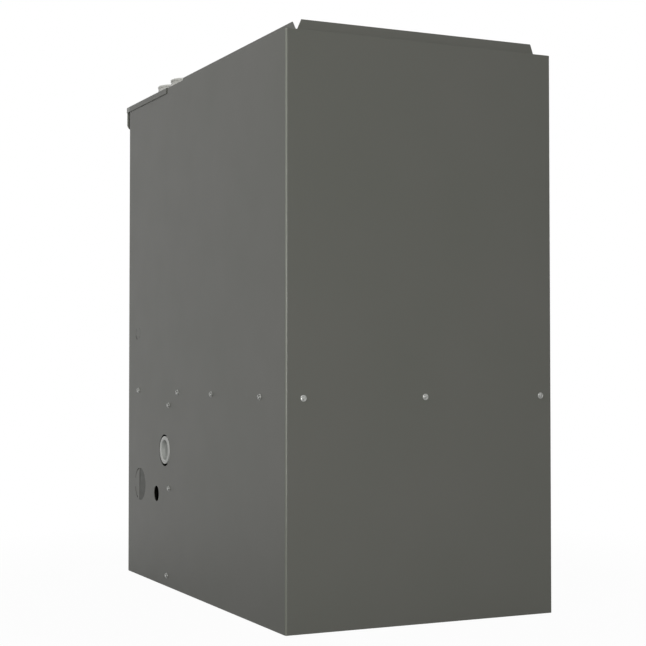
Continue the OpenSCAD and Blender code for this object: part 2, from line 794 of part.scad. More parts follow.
// one in-shot burner along Y: bell, venturi and head, with a straight bore
module burner() {
    difference() {
        union() {
            translate([0, 0, 4]) cylinder(h = 8, r = 16);
            translate([0, 0, 12]) cylinder(h = 26, r1 = 15, r2 = 11);
            translate([0, 0, 38]) cylinder(h = 34, r1 = 11, r2 = 17);
            translate([0, 0, 72]) cylinder(h = 18, r = 19);
        }
        cylinder(h = 95, r = 8);
        translate([0, 0, 80]) cylinder(h = 15, r = 16);
        translate([0, 0, 0]) cylinder(h = 14, r = 13);
    }
}

module burners() color([0.6, 0.58, 0.55]) {
    difference() {
        union() {
            for (x = burner_x) {
                translate([x, box_front, burner_z]) rotate([-90, 0, 0]) burner();
                block([x - 8, box_front + 76, box_lo_z + sheet], [x + 8, box_front + 78, burner_z - 16]);
            }
            for (i = [0:burner_count - 2])
                block([burner_x[i] + 17, box_front + 74, burner_z - 4],
                      [burner_x[i + 1] - 17, box_front + 88, burner_z + 4]);
        }
        for (i = [0:burner_count - 2])
            block([burner_x[i] + 10, box_front + 76, burner_z - 1.5],
                  [burner_x[i + 1] - 10, box_front + 95, burner_z + 1.5]);
    }
}

module gas_manifold() color([0.25, 0.25, 0.26]) {
    rod_x(box_lo_x + 6, box_hi_x - 2, manifold_y, burner_z, manifold_r);
    rod_x(box_lo_x + 2, box_lo_x + 12, manifold_y, burner_z, manifold_r + 3);
    rod_x(box_hi_x - 10, box_hi_x, manifold_y, burner_z, manifold_r + 3);
    rod_z(valve_x, manifold_y, valve_hi[2], burner_z, 10.7);
    rod_x(valve_x - 22, valve_x + 22, manifold_y, burner_z, manifold_r + 3);
    for (x = burner_x) rod_y(x, manifold_y, manifold_y + 17, burner_z, 8);
    for (x = [box_lo_x + 9, box_hi_x - 6])
        block([x - 3, manifold_y, burner_z - 2], [x + 3, box_front, burner_z + 2]);
}

module gas_orifices() color([0.75, 0.6, 0.3]) {
    y0 = manifold_y + 17;
    for (x = burner_x) translate([x, y0, burner_z]) rotate([-90, 0, 0]) difference() {
        union() {
            cylinder(h = 5, r = 7, $fn = 6);
            cylinder(h = 9, r = 4);
        }
        translate([0, 0, -1]) cylinder(h = 12, r = 1);
    }
}

module gas_valve() color([0.72, 0.73, 0.74]) {
    difference() {
        union() {
            block(valve_lo, valve_hi - [0, 0, 12]);
            rod_z(valve_x, manifold_y, valve_hi[2] - 13, valve_hi[2], 17);
            rod_x(valve_lo[0] - 10, valve_lo[0] + 1, manifold_y, gas_hole_at[1], 18);
            rod_z(-12, -275, valve_hi[2] - 13, valve_hi[2] + 2, 9);
            block([-64, valve_lo[1] - 10, 625], [-10, valve_lo[1] + 1, 650]);
        }
        rod_x(valve_lo[0] - 11, valve_lo[0] + 8, manifold_y, gas_hole_at[1], 10.3);
        rod_y(-20, valve_lo[1] - 1, valve_lo[1] + 9, 668, 4 + fit);
    }
}

module gas_valve_knob() color([0.12, 0.12, 0.12]) {
    rod_y(-20, valve_lo[1] - 10, valve_lo[1] - near, 668, 12);
    block([-22, valve_lo[1] - 14, 657], [-18, valve_lo[1] - 9, 679]);
    rod_y(-20, valve_lo[1] - 1, valve_lo[1] + 8, 668, 4);
}

module rubber_ring(hole_r, bore) {
    difference() {
        union() {
            translate([0, 0, -3]) cylinder(h = 6, r = hole_r + 3);
            translate([0, 0, 3]) cylinder(h = 1, r = hole_r + 3);
        }
        difference() {
            translate([0, 0, -sheet / 2 - 0.05]) cylinder(h = sheet + 0.1, r = hole_r + 4);
            translate([0, 0, -4]) cylinder(h = 10, r = hole_r - fit);
        }
        translate([0, 0, -5]) cylinder(h = 12, r = bore);
    }
}

module grommets() color([0.1, 0.1, 0.1]) {
    translate([-side_x + sheet / 2, gas_hole_at[0], gas_hole_at[1]]) rotate([0, 90, 0])
        rubber_ring(gas_hole_r, 13);
    translate([main_route[4][0], main_route[4][1] - 5, deck_z + sheet / 2]) rubber_ring(18, 15);
    translate([hose_at[0], hose_at[1], deck_z + sheet / 2]) rubber_ring(14, hose_r + 0.5);
}

module igniter() color([0.85, 0.83, 0.78]) {
    x = burner_x[0];
    rod_z(x, -164, box_lo_z - 14, burner_z - 20, 5.8);
    rod_z(x, -164, box_lo_z + sheet, box_lo_z + sheet + 3, 9);
    block([x - 5, -165.5, burner_z - 21], [x + 5, -162.5, burner_z + 14]);
}

module flame_sensor() color([0.9, 0.9, 0.88]) {
    rod_z(last_x, -164, box_lo_z - 18, burner_z - 24, 4.8);
    rod_z(last_x, -164, box_lo_z + sheet, box_lo_z + sheet + 3, 8);
    rod_z(last_x, -164, burner_z - 25, burner_z + 10, 1.6);
}

module rollout_switches() color([0.2, 0.2, 0.2]) {
    z = box_hi_z + sheet;
    for (x = reset_x) difference() {
        union() {
            rod_z(x, reset_y, z, z + 11, 9);
            block([x - 18, reset_y - 5, z], [x + 18, reset_y + 5, z + 1]);
            for (s = [-1, 1])
                block([x + s * 6 - 0.4, reset_y - 14, z + 6], [x + s * 6 + 0.4, reset_y - 6, z + 9]);
        }
        rod_z(x, reset_y, z + 4, z + 12, 2.5 + fit);
    }
}

module reset_button(x) color([0.75, 0.12, 0.1])
    rod_z(x, reset_y, box_hi_z + sheet + 4.1, box_hi_z + sheet + 13, 2.5);
module reset_button_left() reset_button(reset_x[0]);
module reset_button_right() reset_button(reset_x[1]);

module limit_switch() color([0.25, 0.25, 0.25]) {
    y = strip_y - sheet;
    rod_y(valve_x, y - 14, y, 610, 10);
    block([valve_x - 22, y - 1.2, 602], [valve_x + 22, y, 618]);
    rod_y(valve_x, y - 1, y + 60, 610, 4);
}

// ---- heat exchangers -----------------------------------------------------

// a half-turn of tube between two passes, bulging towards +Y (side 1) or -Y
module half_turn(y, z, side, r) {
    translate([0, y, z]) rotate([0, 90, 0]) rotate([0, 0, side > 0 ? 0 : 180])
    rotate_extrude(angle = 180) translate([bend_radius, 0]) circle(r);
}

// the three passes of one serpentine tube, solid, with radius r
module serpentine(r, over) {
    rod_y(0, strip_y - sheet - over, rear_bend_y, burner_z, r);
    half_turn(rear_bend_y, burner_z - bend_radius, 1, r);
    rod_y(0, front_bend_y, rear_bend_y, burner_z - pass_step, r);
    half_turn(front_bend_y, burner_z - pass_step - bend_radius, -1, r);
    rod_y(0, front_bend_y, collector_y + 6 + over, burner_z - 2 * pass_step, r);
}

module primary_tubes() color([0.62, 0.6, 0.57]) {
    for (x = burner_x) translate([x, 0, 0]) difference() {
        serpentine(tube_r, 0);
        serpentine(tube_in, 1);
    }
}

// box that turns the flue gas from the tubes down into the coil
module rear_collector() color([0.6, 0.58, 0.55]) {
    lo = [-186, collector_y, deck_z + sheet + rail_h + 1];
    hi = [186, collector_y + 50, burner_z - 2 * pass_step + 40];
    wall = [1.5, 1.5, 1.5];
    difference() {
        block(lo, hi);
        block(lo + wall, hi - wall);
        for (x = burner_x) rod_y(x, lo[1] - 2, lo[1] + 4, burner_z - 2 * pass_step, tube_r + fit);
        block([coil_lo[0] + 8, lo[1] - 2, coil_lo[2] + 6], [coil_hi[0] - 8, lo[1] + 4, coil_hi[2] - 6]);
    }
}

// finned tubes from the rear collector forward to the front collector
module secondary_coil() color([0.7, 0.71, 0.72]) {
    step = (coil_hi[1] - coil_lo[1]) / (fins + 1);
    for (y = [coil_lo[1], coil_hi[1] - 1.5])
        block([coil_lo[0], y, coil_lo[2]], [coil_hi[0], y + 1.5, coil_hi[2]]);
    for (k = [1:fins]) block([coil_lo[0] + 4, coil_lo[1] + k * step, coil_lo[2] + 2],
                             [coil_hi[0] - 4, coil_lo[1] + k * step + 0.8, coil_hi[2] - 2]);
    for (i = [0:9]) for (row = [0:1])
        rod_y(-150 + 33 * i + 6 * row, coil_lo[1], coil_hi[1], coil_lo[2] + 26 + 38 * row, 6);
}

module front_collector() color([0.18, 0.18, 0.19]) {
    back = strip_y - sheet - 0.1;
    lo = [-178, back - 44, deck_z + sheet + rail_h + 1];
    hi = [178, back, coil_hi[2] + 6];
    wall = [2.5, 2.5, 2.5];
    difference() {
        union() {
            block(lo, hi);
            block([ind_at[0] - 45, lo[1], hi[2] - 10], [ind_at[0] + 45, back, ind_at[1] + 45]);
            rod_z(hose_at[0], hose_at[1], lo[2] - 10, lo[2] + 3, 7);
        }
        block(lo + wall, hi + [-wall[0], 1, -wall[2]]);
        block([ind_at[0] - 42.5, lo[1] + 2.5, hi[2] - 12], [ind_at[0] + 42.5, back - 2.5, ind_at[1] + 42.5]);
        rod_y(ind_at[0], lo[1] - 2, lo[1] + 5, ind_at[1], 32);
        rod_z(hose_at[0], hose_at[1], lo[2] - 12, lo[2] + 6, 5);
    }
}

// ---- inducer and vent ----------------------------------------------------

// front view of the inducer housing, seen from -Y, pushed in by its wall
module inducer_outline(shrink) {
    r1 = ind_max - shrink;
    r0 = ind_wheel_r + 9 - shrink;
    a0 = 40;
    neck_in = vent_at[0] - ind_at[0] - neck_r + shrink;
    polygon(concat(spiral(r0, r1, a0, 40), [[r1, 50], [neck_in, 50]]));
}

module inducer_housing() color([0.13, 0.13, 0.14]) {
    depth = ind_back - ind_front;
    difference() {
        union() {
            translate([ind_at[0], ind_back, ind_at[1]]) rotate([90, 0, 0]) linear_extrude(depth)
                inducer_outline(0);
            rod_z(vent_at[0], vent_at[1], ind_at[1] + 20, neck_top, neck_r);
            rod_y(ind_at[0], ind_back, ind_back + 8.5, ind_at[1], 40);
            rod_x(ind_at[0] - 92, ind_at[0] - 70, vent_at[1], 470, 4);
        }
        translate([ind_at[0], ind_back - ind_wall, ind_at[1]]) rotate([90, 0, 0])
            linear_extrude(depth - 2 * ind_wall) inducer_outline(ind_wall);
        rod_z(vent_at[0], vent_at[1], ind_at[1] + 19, neck_top + 1, neck_r - 4);
        rod_y(ind_at[0], ind_back - 10, ind_back + 12, ind_at[1], 30);
        rod_y(ind_at[0], ind_front - 5, ind_front + 10, ind_at[1], 9);
    }
}

module inducer_wheel() color([0.55, 0.56, 0.57]) {
    front = ind_front + ind_wall + 4;
    translate([ind_at[0], front, ind_at[1]]) rotate([-90, 0, 0]) {
        cylinder(h = 2, r = ind_wheel_r);
        cylinder(h = 16, r = 9);
        for (k = [0:11]) rotate([0, 0, 30 * k]) translate([8, -0.8, 0]) cube([ind_wheel_r - 9, 1.6, 34]);
    }
    rod_y(ind_at[0], -338, front + 4, ind_at[1], 4);
}

module inducer_motor() color([0.17, 0.17, 0.18]) {
    difference() {
        union() {
            rod_y(ind_at[0], -318, ind_front - 6, ind_at[1], 40);
            rod_y(ind_at[0], -312, ind_front - 12, ind_at[1], 43);
            rod_y(ind_at[0], ind_front - 7, ind_front, ind_at[1], 22);
        }
        rod_y(ind_at[0], -330, ind_front + 5, ind_at[1], 4 + fit);
    }
}

module inducer_fan() color([0.3, 0.3, 0.32]) {
    translate([ind_at[0], -336, ind_at[1]]) rotate([-90, 0, 0]) difference() {
        union() {
            cylinder(h = 12, r = 10);
            cylinder(h = 1.5, r = 30);
            for (k = [0:7]) rotate([0, 0, 45 * k]) translate([9, -0.8, 0]) cube([33, 1.6, 11]);
        }
        translate([0, 0, -1]) cylinder(h = 20, r = 4);
    }
}

module vent_coupling() color([0.1, 0.1, 0.1]) {
    x = vent_at[0];
    y = vent_at[1];
    difference() {
        union() {
            rod_z(x, y, coupling_lo, coupling_mid, neck_r + 4);
            rod_z(x, y, coupling_mid - 4, coupling_hi, pipe_d / 2 + 3.5);
            for (z = [coupling_lo + 6, coupling_hi - 20]) rod_z(x, y, z, z + 11, pipe_d / 2 + 4.3);
        }
        rod_z(x, y, coupling_lo - 1, coupling_mid, neck_r + fit);
        rod_z(x, y, coupling_mid - 2, pipe_lo, neck_r - 4);
        rod_z(x, y, pipe_lo - 1, coupling_hi + 1, pipe_d / 2 + fit);
    }
}

// a pipe end with a slightly wider rim
module stub_pipe(at, lo) {
    difference() {
        union() {
            rod_z(at[0], at[1], lo, pipe_hi, pipe_d / 2);
            rod_z(at[0], at[1], pipe_hi - 4, pipe_hi, pipe_d / 2 + 0.8);
        }
        rod_z(at[0], at[1], lo - 1, pipe_hi + 1, pipe_bore / 2);
    }
}

module vent_pipe() color([0.72, 0.72, 0.71]) stub_pipe(vent_at, pipe_lo);
module air_pipe() color([0.72, 0.72, 0.71]) stub_pipe(air_at, air_lo);

module pipe_seals() color([0.12, 0.12, 0.12]) {
    for (at = [vent_at, air_at]) difference() {
        union() {
            rod_z(at[0], at[1], cap_z + sheet, cap_z + sheet + 3, 34.5);
            rod_z(at[0], at[1], cap_z - 3, cap_z + sheet + 3, pipe_d / 2 + 1.4);
        }
        rod_z(at[0], at[1], cap_z - 5, cap_z + 9, pipe_d / 2 + fit);
    }
}

module pressure_switch() color([0.75, 0.75, 0.73]) {
    y = strip_y - sheet;
    translate([-110, y, 482]) rotate([90, 0, 0]) {
        cylinder(h = 6, r = 20);
        translate([0, 0, 6]) cylinder(h = 10, r = 36);
        translate([0, 0, 16]) cylinder(h = 14, r = 30);
        translate([0, 0, 30]) cylinder(h = 19.5, r = 3);
    }
}

module pressure_tube() color([0.15, 0.15, 0.15]) hose(pressure_route, 3.5);

// ---- condensate drain ----------------------------------------------------

module condensate_trap() color([0.66, 0.66, 0.65]) {
    x = hose_at[0];
    y = hose_at[1];
    difference() {
        union() {
            block(trap_lo, trap_hi);
            rod_z(x, y, trap_hi[2] - 1, trap_hi[2] + 14, 7);
            rod_z(x, -186, 150, trap_lo[2] + 1, 9.5);
            rod_x(trap_hi[0] - 1, side_x - 9, port_at[0], port_at[1], 22);
            for (z = [trap_lo[2] + 12, trap_hi[2] - 30])
                block([trap_hi[0] - 1, -190, z], [204.2, -182, z + 18]);
        }
        rod_z(x, y, trap_hi[2] - 8, trap_hi[2] + 15, 5);
        rod_z(x, -186, 149, trap_lo[2] + 8, 7);
        rod_x(trap_hi[0] + 2, side_x - 8, port_at[0], port_at[1], 18);
    }
}

module trap_cap() color([0.62, 0.62, 0.61]) {
    difference() {
        union() {
            rod_x(side_x - 8.9, side_x + 1, port_at[0], port_at[1], 24);
            rod_x(side_x - 16, side_x - 8, port_at[0], port_at[1], 18 - fit);
        }
        translate([side_x - 3.2, port_at[0], port_at[1]]) rotate([0, 90, 0])
            cylinder(h = 4.2, r1 = 13, r2 = 18);
        rod_x(side_x + 0.9, side_x + 2, port_at[0], port_at[1], 18);
    }
}

module trap_bracket() color([0.6, 0.61, 0.61]) {
    plate_x = 204.4;
    wall_x = in_x - 0.1;
    hi_z = trap_hi[2] + 10;
    lo_z = trap_lo[2] + 4;
    difference() {
        union() {
            block([plate_x, -197, lo_z], [plate_x + sheet, -117, hi_z]);
            block([plate_x, -152, hi_z - sheet], [wall_x, -122, hi_z]);
            block([wall_x - sheet, -152, hi_z - sheet], [wall_x, -122, deck_z - 1]);
            block([plate_x, -152, lo_z], [wall_x, -122, lo_z + sheet]);
            block([wall_x - sheet, -152, 156], [wall_x, -122, lo_z + sheet]);
        }
        rod_x(plate_x - 5, plate_x + 5, port_at[0], port_at[1], 22.5);
        for (at = trap_screws) side_hole(1, at, screw_r + 0.1);
    }
}

module drain_hose() color([0.14, 0.14, 0.14]) {
    lo = trap_hi[2] + 2;
    hi = deck_z + sheet + rail_h + 0.6;
    difference() {
        rod_z(hose_at[0], hose_at[1], lo, hi, hose_r);
        rod_z(hose_at[0], hose_at[1], lo - 1, hi + 1, 7 + fit);
    }
}

casing_wrap();
base_pan();
front_cap();
header_rail();
blower_deck();
vestibule_panel();
casing_insulation();
cabinet_screws();
upper_door();
upper_knob();
burner_window();
door_liner();
lower_door();
lower_knob();
blower_housing();
blower_rails();
blower_wheel();
motor_shaft();
blower_motor();
motor_mount();
run_capacitor();
control_bracket();
control_board();
transformer();
door_switch();
switch_plunger();
wire_harness();
junction_box();
burner_box();
burners();
gas_manifold();
gas_orifices();
gas_valve();
gas_valve_knob();
grommets();
igniter();
flame_sensor();
rollout_switches();
reset_button_left();
reset_button_right();
limit_switch();
primary_tubes();
rear_collector();
secondary_coil();
front_collector();
inducer_housing();
inducer_wheel();
inducer_motor();
inducer_fan();
pressure_switch();
pressure_tube();
condensate_trap();
trap_cap();
trap_bracket();
drain_hose();
vent_coupling();
vent_pipe();
air_pipe();
pipe_seals();
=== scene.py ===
import bmesh
import bpy
import numpy as np
from math import cos, pi, radians, sin
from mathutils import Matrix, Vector
from mathutils.geometry import delaunay_2d_cdt
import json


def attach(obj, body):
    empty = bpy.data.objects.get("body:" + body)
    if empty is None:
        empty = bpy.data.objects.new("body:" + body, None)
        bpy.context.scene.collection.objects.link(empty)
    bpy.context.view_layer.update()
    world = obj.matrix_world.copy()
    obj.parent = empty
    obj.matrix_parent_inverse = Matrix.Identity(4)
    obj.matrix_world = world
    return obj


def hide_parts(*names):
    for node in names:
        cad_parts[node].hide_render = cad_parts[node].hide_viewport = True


# An upflow gas furnace in its enamelled cabinet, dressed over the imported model.
# Shapes are worked out in millimetres in the model's own frame: origin at the
# centre of the cabinet's footprint on the floor, front towards -Y, +Z up.

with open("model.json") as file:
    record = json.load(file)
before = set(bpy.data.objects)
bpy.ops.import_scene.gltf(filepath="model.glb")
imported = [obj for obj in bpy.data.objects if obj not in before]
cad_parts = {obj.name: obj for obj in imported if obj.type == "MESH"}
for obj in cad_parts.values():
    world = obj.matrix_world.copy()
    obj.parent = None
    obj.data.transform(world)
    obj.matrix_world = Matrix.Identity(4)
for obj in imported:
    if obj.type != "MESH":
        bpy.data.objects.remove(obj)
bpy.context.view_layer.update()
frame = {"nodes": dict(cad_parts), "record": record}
BODIES = frame["record"]["behaviour"]["bodies"]

# ---- sizes in millimetres ------------------------------------------------

SIDE_X = 225.0        # outer face of the right side
FRONT_Y = -361.0
BACK_Y = 361.0
TOP_Z = 864.0
SHEET = 1.2
HALF = SHEET / 2
STRIP_Y = -151.0      # front of the heat exchanger compartment
DECK_Z = 324.0
RIM_Z = 881.0         # top of the duct flange at the rear
SIDE_RIM_Z = 878.5
LIP_Y = -375.0        # front of the cap's lip
JAMB_W, JAMB_D = 14.0, 17.0
BEND_HIGHLIGHT_AND_WEAR = 2.8          # how far in from the faces the right side's bends carry rubbed enamel and a painted highlight
BURNER_X = np.array([-155.0, -75.0, 5.0, 85.0])
BURNER_Z = 760.0
UPPER_KNOB_Z, LOWER_KNOB_Z = 800.0, 312.0
WINDOW_X = -95.0      # the sight glass in front of the burners
BOARD_Y = -165.0      # front of the control board
WHEEL = (0.0, 60.0, 172.0)
INDUCER = (75.0, 0.0, 455.0)
VENT = (157.0, -232.0)
AIR = (157.0, -302.0)
PORT, DRAIN = (-158.0, 233.5), (-201.0, 155.5)    # (y, z) of openings in the right side
KNOCKOUT, SMALL_KNOCKOUT = (-291.0, 165.4), (-307.0, 440.0)
GAS_ENTRY = (-289.0, 650.0)                       # and in the left one

# ---- surfaces worked out as arrays ---------------------------------------


def grid(points, round_u=False, round_v=False):
    """Quads over an array of points [u, v]: cell (u, v) joins the point to its next ones in u and in v."""
    n, m = points.shape[:2]
    index = np.arange(n * m).reshape(n, m)
    if round_u:
        index = np.vstack([index, index[:1]])
    if round_v:
        index = np.hstack([index, index[:, :1]])
    quads = np.stack([index[:-1, :-1], index[1:, :-1], index[1:, 1:], index[:-1, 1:]], -1)
    return points.reshape(-1, 3), quads.reshape(-1, 4).tolist()


def capped(rings):
    """Rings of points joined one to the next by quads, with the first and the last one filled."""
    points, faces = grid(rings, round_v=True)
    n, end = rings.shape[1], len(points)
    return points, faces + [list(range(n)), list(range(end - 1, end - n - 1, -1))]


def joined(*parts):
    """Several (points, faces) as one: the faces of each count on from the points before it."""
    points, faces, count = [], [], 0
    for p, f in parts:
        points.append(p)
        faces += [[i + count for i in face] for face in f]
        count += len(p)
    return np.concatenate(points), faces


AXES = {"x": (1, 2, 0), "y": (0, 2, 1), "z": (0, 1, 2)}


def on_axis(a, b, along, axis):
    """Points from two coordinates across an axis and one along it: x takes (y, z), y (x, z) and z (x,
    y)."""
    a, b, along = np.broadcast_arrays(a, b, along)
    out = np.empty(a.shape + (3,))
    for place, value in zip(AXES[axis], (a, b, along)):
        out[..., place] = value
    return out


def turned(profile, at, axis, steps, way=1):
    """A profile of (radius, height) turned about an axis through `at`: point (k, t) = at + way * height k
    along the axis + radius k at angle t round it."""
    r, height = np.asarray(profile, float).T[:, :, None]
    t = np.linspace(0, 2 * pi, steps, endpoint=False)
    a, b, c = [at[i] for i in AXES[axis]]
    return grid(on_axis(a + r * np.cos(t), b + r * np.sin(t), c + way * height, axis), round_v=True)


def prism(outline, lo, hi, axis):
    """An outline of points across an axis carried straight from lo to hi along it, closed by its two ends;
    lo and hi may differ from point to point, for a slanting end."""
    outline = np.asarray(outline, float)
    ends = np.stack([np.broadcast_to(end, len(outline)) for end in (lo, hi)])
    return capped(on_axis(*outline.T, ends, axis))


def box(lo, hi):
    """The eight corners between two opposite ones, and the six sides."""
    (x0, y0, z0), (x1, y1, z1) = lo, hi
    return prism([(x0, y0), (x1, y0), (x1, y1), (x0, y1)], z0, z1, "z")


def bar(a, b, wide, high, lo, hi, axis):
    """A rectangle that reaches `wide` and `high` to each side of (a, b), carried from lo to hi along an
    axis."""
    a0, a1, b0, b1 = a - wide, a + wide, b - high, b + high
    return prism([(a0, b0), (a1, b0), (a1, b1), (a0, b1)], lo, hi, axis)


def rounded(lo, hi, r, steps=5):
    """Outline of a rectangle whose corners are quarter circles of radius r."""
    t = np.linspace(0, pi / 2, steps)
    quarter = r * np.stack([np.cos(t), np.sin(t)], 1)
    (a0, b0), (a1, b1) = lo, hi
    turns = [((a1 - r, b1 - r), quarter), ((a0 + r, b1 - r), quarter @ [[0, 1], [-1, 0]]),
             ((a0 + r, b0 + r), -quarter), ((a1 - r, b0 + r), quarter @ [[0, -1], [1, 0]])]
    return np.concatenate([centre + arc for centre, arc in turns])


def circle(a, b, r, steps=40, start=0.0, end=2 * pi):
    """Points at radius r round (a, b), from one angle to another; a full round leaves out its last
    point."""
    t = np.linspace(start, end, steps, endpoint=end - start < 2 * pi - 0.01)
    return np.stack([a + r * np.cos(t), b + r * np.sin(t)], 1)


def slit(a, b, r, width, start, end):
    """Outline of a curved slit: out along one arc and back along another, half its width to each side of
    r."""
    out, back = [circle(a, b, at, 16, radians(start), radians(end)) for at in (r + width / 2, r - width / 2)]
    return np.concatenate([out, back[::-1]])


def folded(corners, bends, steps=7):
    """A path over the corners of a bent sheet, each corner an arc of its own radius: points, normals to the
    left, and for every straight run the point it starts from and how much of it the arc before it took."""
    corners = np.asarray(corners, float)
    bends = np.broadcast_to(bends, len(corners) - 2)
    ahead = np.diff(corners, axis=0)
    ahead /= np.linalg.norm(ahead, axis=1, keepdims=True)
    left = np.stack([-ahead[:, 1], ahead[:, 0]], 1)
    points, normals, runs = [corners[:1]], [left[:1]], [(0, 0.0)]
    for k, bend in enumerate(bends, 1):
        turn = np.arctan2(left[k - 1] @ ahead[k], ahead[k - 1] @ ahead[k])
        cut = bend * abs(np.tan(turn / 2))
        t = np.linspace(0, turn, steps)[:, None]
        normal = np.cos(t) * left[k - 1] - np.sin(t) * ahead[k - 1]
        centre = corners[k] - ahead[k - 1] * cut + np.sign(turn) * bend * left[k - 1]
        points.append(centre - np.sign(turn) * bend * normal)
        normals.append(normal)
        runs.append((1 + k * steps - 1, cut))
    return np.concatenate(points + [corners[-1:]]), np.concatenate(normals + [left[-1:]]), runs


def sheet_metal(corners, bends, lo, hi, axis, holes=None, thick=SHEET):
    """A bent sheet: the path over its corners carried from lo to hi along an axis, half its thickness to
    each side, its cut edges half an ellipse. holes gives, for a straight run, loops of points (distance
    from the run's first corner, place along the axis); that run becomes a flat plate round them."""
    line, normal, runs = folded(corners, bends)
    half, soft = thick / 2, thick / 4
    t = np.linspace(0, pi, 5)
    offset = half * np.cos(np.concatenate([t, t + pi]))
    along = np.concatenate([hi - soft + soft * np.sin(t), lo + soft - soft * np.sin(t)])
    a = line[:, :1] + normal[:, :1] * offset
    b = line[:, 1:] + normal[:, 1:] * offset
    points, faces = grid(on_axis(a, b, along, axis), round_v=True)
    count, end = len(offset), len(line) - 1
    dropped, plates = set(), []
    for run, loops in (holes or {}).items():
        start, cut = runs[run]
        dropped |= {start * count + 4, start * count + count - 1}
        first, run_ahead = line[start], line[start + 1] - line[start]
        length = np.linalg.norm(run_ahead)
        run_ahead /= length
        rim = [(0, lo + soft), (length, lo + soft), (length, hi - soft), (0, hi - soft)]
        flat, triangles, loops = plate(rim, [loop - [cut, 0] for loop in loops])
        for side in (half, -half):
            base = first + side * normal[start]
            plates.append((on_axis(*(base + flat[:, :1] * run_ahead).T, flat[:, 1], axis), triangles))
        for loop in loops:
            base = first + np.array([[[half]], [[-half]]]) * normal[start] + loop[None, :, :1] * run_ahead
            plates.append(grid(on_axis(base[..., 0], base[..., 1], loop[None, :, 1], axis), round_v=True))
    faces = [face for i, face in enumerate(faces) if i not in dropped]
    faces += [list(range(count)), [end * count + i for i in range(count - 1, -1, -1)]]
    return joined((points, faces), *plates)


def inside(points, ring):
    """Which points lie in a ring: those whose ray to the right crosses its edges an odd number of times."""
    a, b = ring[:, None], np.roll(ring, -1, 0)[:, None]
    x, y = points.T
    spans = (a[..., 1] > y) != (b[..., 1] > y)
    rise = np.where(spans, b[..., 1] - a[..., 1], 1)
    return (spans & (x < a[..., 0] + (b[..., 0] - a[..., 0]) * (y - a[..., 1]) / rise)).sum(0) % 2 == 1


def plate(rim, loops):
    """Triangles that fill a rim and leave its loops open: every loop's own edges are kept, and a triangle
    whose middle lies in a loop is left out."""
    rings = [np.asarray(ring, float) for ring in [rim, *loops]]
    edges, count = [], 0
    for ring in rings:
        n = len(ring)
        edges += [(count + i, count + (i + 1) % n) for i in range(n)]
        count += n
    made = delaunay_2d_cdt([Vector(v) for v in np.concatenate(rings)], edges, [], 1, 1e-5)
    flat, triangles = np.array([list(v) for v in made[0]]), np.array(made[2])
    middle = flat[triangles].mean(1)
    in_a_loop = np.any([inside(middle, ring) for ring in rings[1:]] or [np.zeros(len(middle), bool)], axis=0)
    return flat, triangles[~in_a_loop].tolist(), rings[1:]


def drilled(rim, holes, lo, hi, axis, edge=True):
    """A flat sheet with holes: its faces at lo and at hi along an axis, the walls of the holes between them
    and, unless another part closes it, its outer edge."""
    flat, triangles, loops = plate(rim, holes)
    faces = [(on_axis(*flat.T, side, axis), triangles) for side in (lo, hi)]
    walls = loops + [np.asarray(rim, float)] * edge
    return faces + [grid(np.stack([on_axis(*loop.T, side, axis) for side in (lo, hi)]), round_v=True)
                    for loop in walls]


def soft_line(points, rounds=3):
    """A path with its corners cut: every round puts two points at a quarter and three quarters of each
    step."""
    p = np.asarray(points, float)
    for _ in range(rounds):
        mid = np.stack([p[:-1] * 0.75 + p[1:] * 0.25, p[:-1] * 0.25 + p[1:] * 0.75], 1).reshape(-1, 3)
        p = np.concatenate([p[:1], mid, p[-1:]])
    return p


def across(path, hint=(0.31, 0.17, 0.93)):
    """Two unit directions at every point of a path, square to the path and to each other; the first one
    also square to the hint."""
    ahead = np.gradient(path, axis=0)
    ahead /= np.linalg.norm(ahead, axis=1, keepdims=True)
    side = np.cross(ahead, hint)
    side /= np.linalg.norm(side, axis=1, keepdims=True)
    return side, np.cross(side, ahead)


def sections(path, radii, side, up, sides):
    """Round sections along a path: point (k, t) = path k + radius k * (cos t * side k + sin t * up k)."""
    t = np.linspace(0, 2 * pi, sides, endpoint=False)[None, :, None]
    round_it = np.cos(t) * side[:, None] + np.sin(t) * up[:, None]
    return path[:, None] + np.asarray(radii, float)[:, None, None] * round_it


def tube(path, radius, sides=12):
    """A round bar along a path, closed by a point at each end."""
    path = np.asarray(path, float)
    path, side, up = [np.concatenate([v[:1], v, v[-1:]]) for v in (path, *across(path))]
    return grid(sections(path, [0, *[radius] * (len(path) - 2), 0], side, up, sides), round_v=True)


def pipe(path, outer, inner, sides=28):
    """A pipe with a wall: round sections of the outer radii along a path and back along it with the inner
    ones."""
    side, up = across(path, (0.97, 0.1, 0.2))
    out, into = [sections(path, radii, side, up, sides) for radii in (outer, inner)]
    return grid(np.concatenate([out, into[::-1]]), round_u=True, round_v=True)


def strands(route, count, offset, radius, pitch=70):
    """Wires twisted round a route: wire k keeps an offset from it at the angle 2 pi (k / count + length /
    pitch)."""
    p = soft_line(route)
    side, up = across(p)
    length = np.concatenate([[0], np.cumsum(np.linalg.norm(np.diff(p, axis=0), axis=1))])
    turns = [2 * pi * (k / count + length[:, None] / pitch) for k in range(count)]
    return [tube(p + offset * (np.cos(a) * side + np.sin(a) * up), radius, 8) for a in turns]


def spun(part, axis, at, degrees):
    """Copies of a part, every point turned about an axis through `at`, one for each angle."""
    points, faces = part
    i, j = {"x": (1, 2), "y": (2, 0), "z": (0, 1)}[axis]
    copies = []
    for angle in np.radians(degrees):
        u, v = (points - at)[:, i], (points - at)[:, j]
        out = points - at
        out[:, i] = cos(angle) * u - sin(angle) * v
        out[:, j] = sin(angle) * u + cos(angle) * v
        copies.append((out + at, faces))
    return copies


# ---- putting pieces in the scene -----------------------------------------

MERGE = 2e-6          # metres between two points that become one


def body_of(node):
    """The body that carries a node."""
    return next(body for body in BODIES if node in BODIES[body])


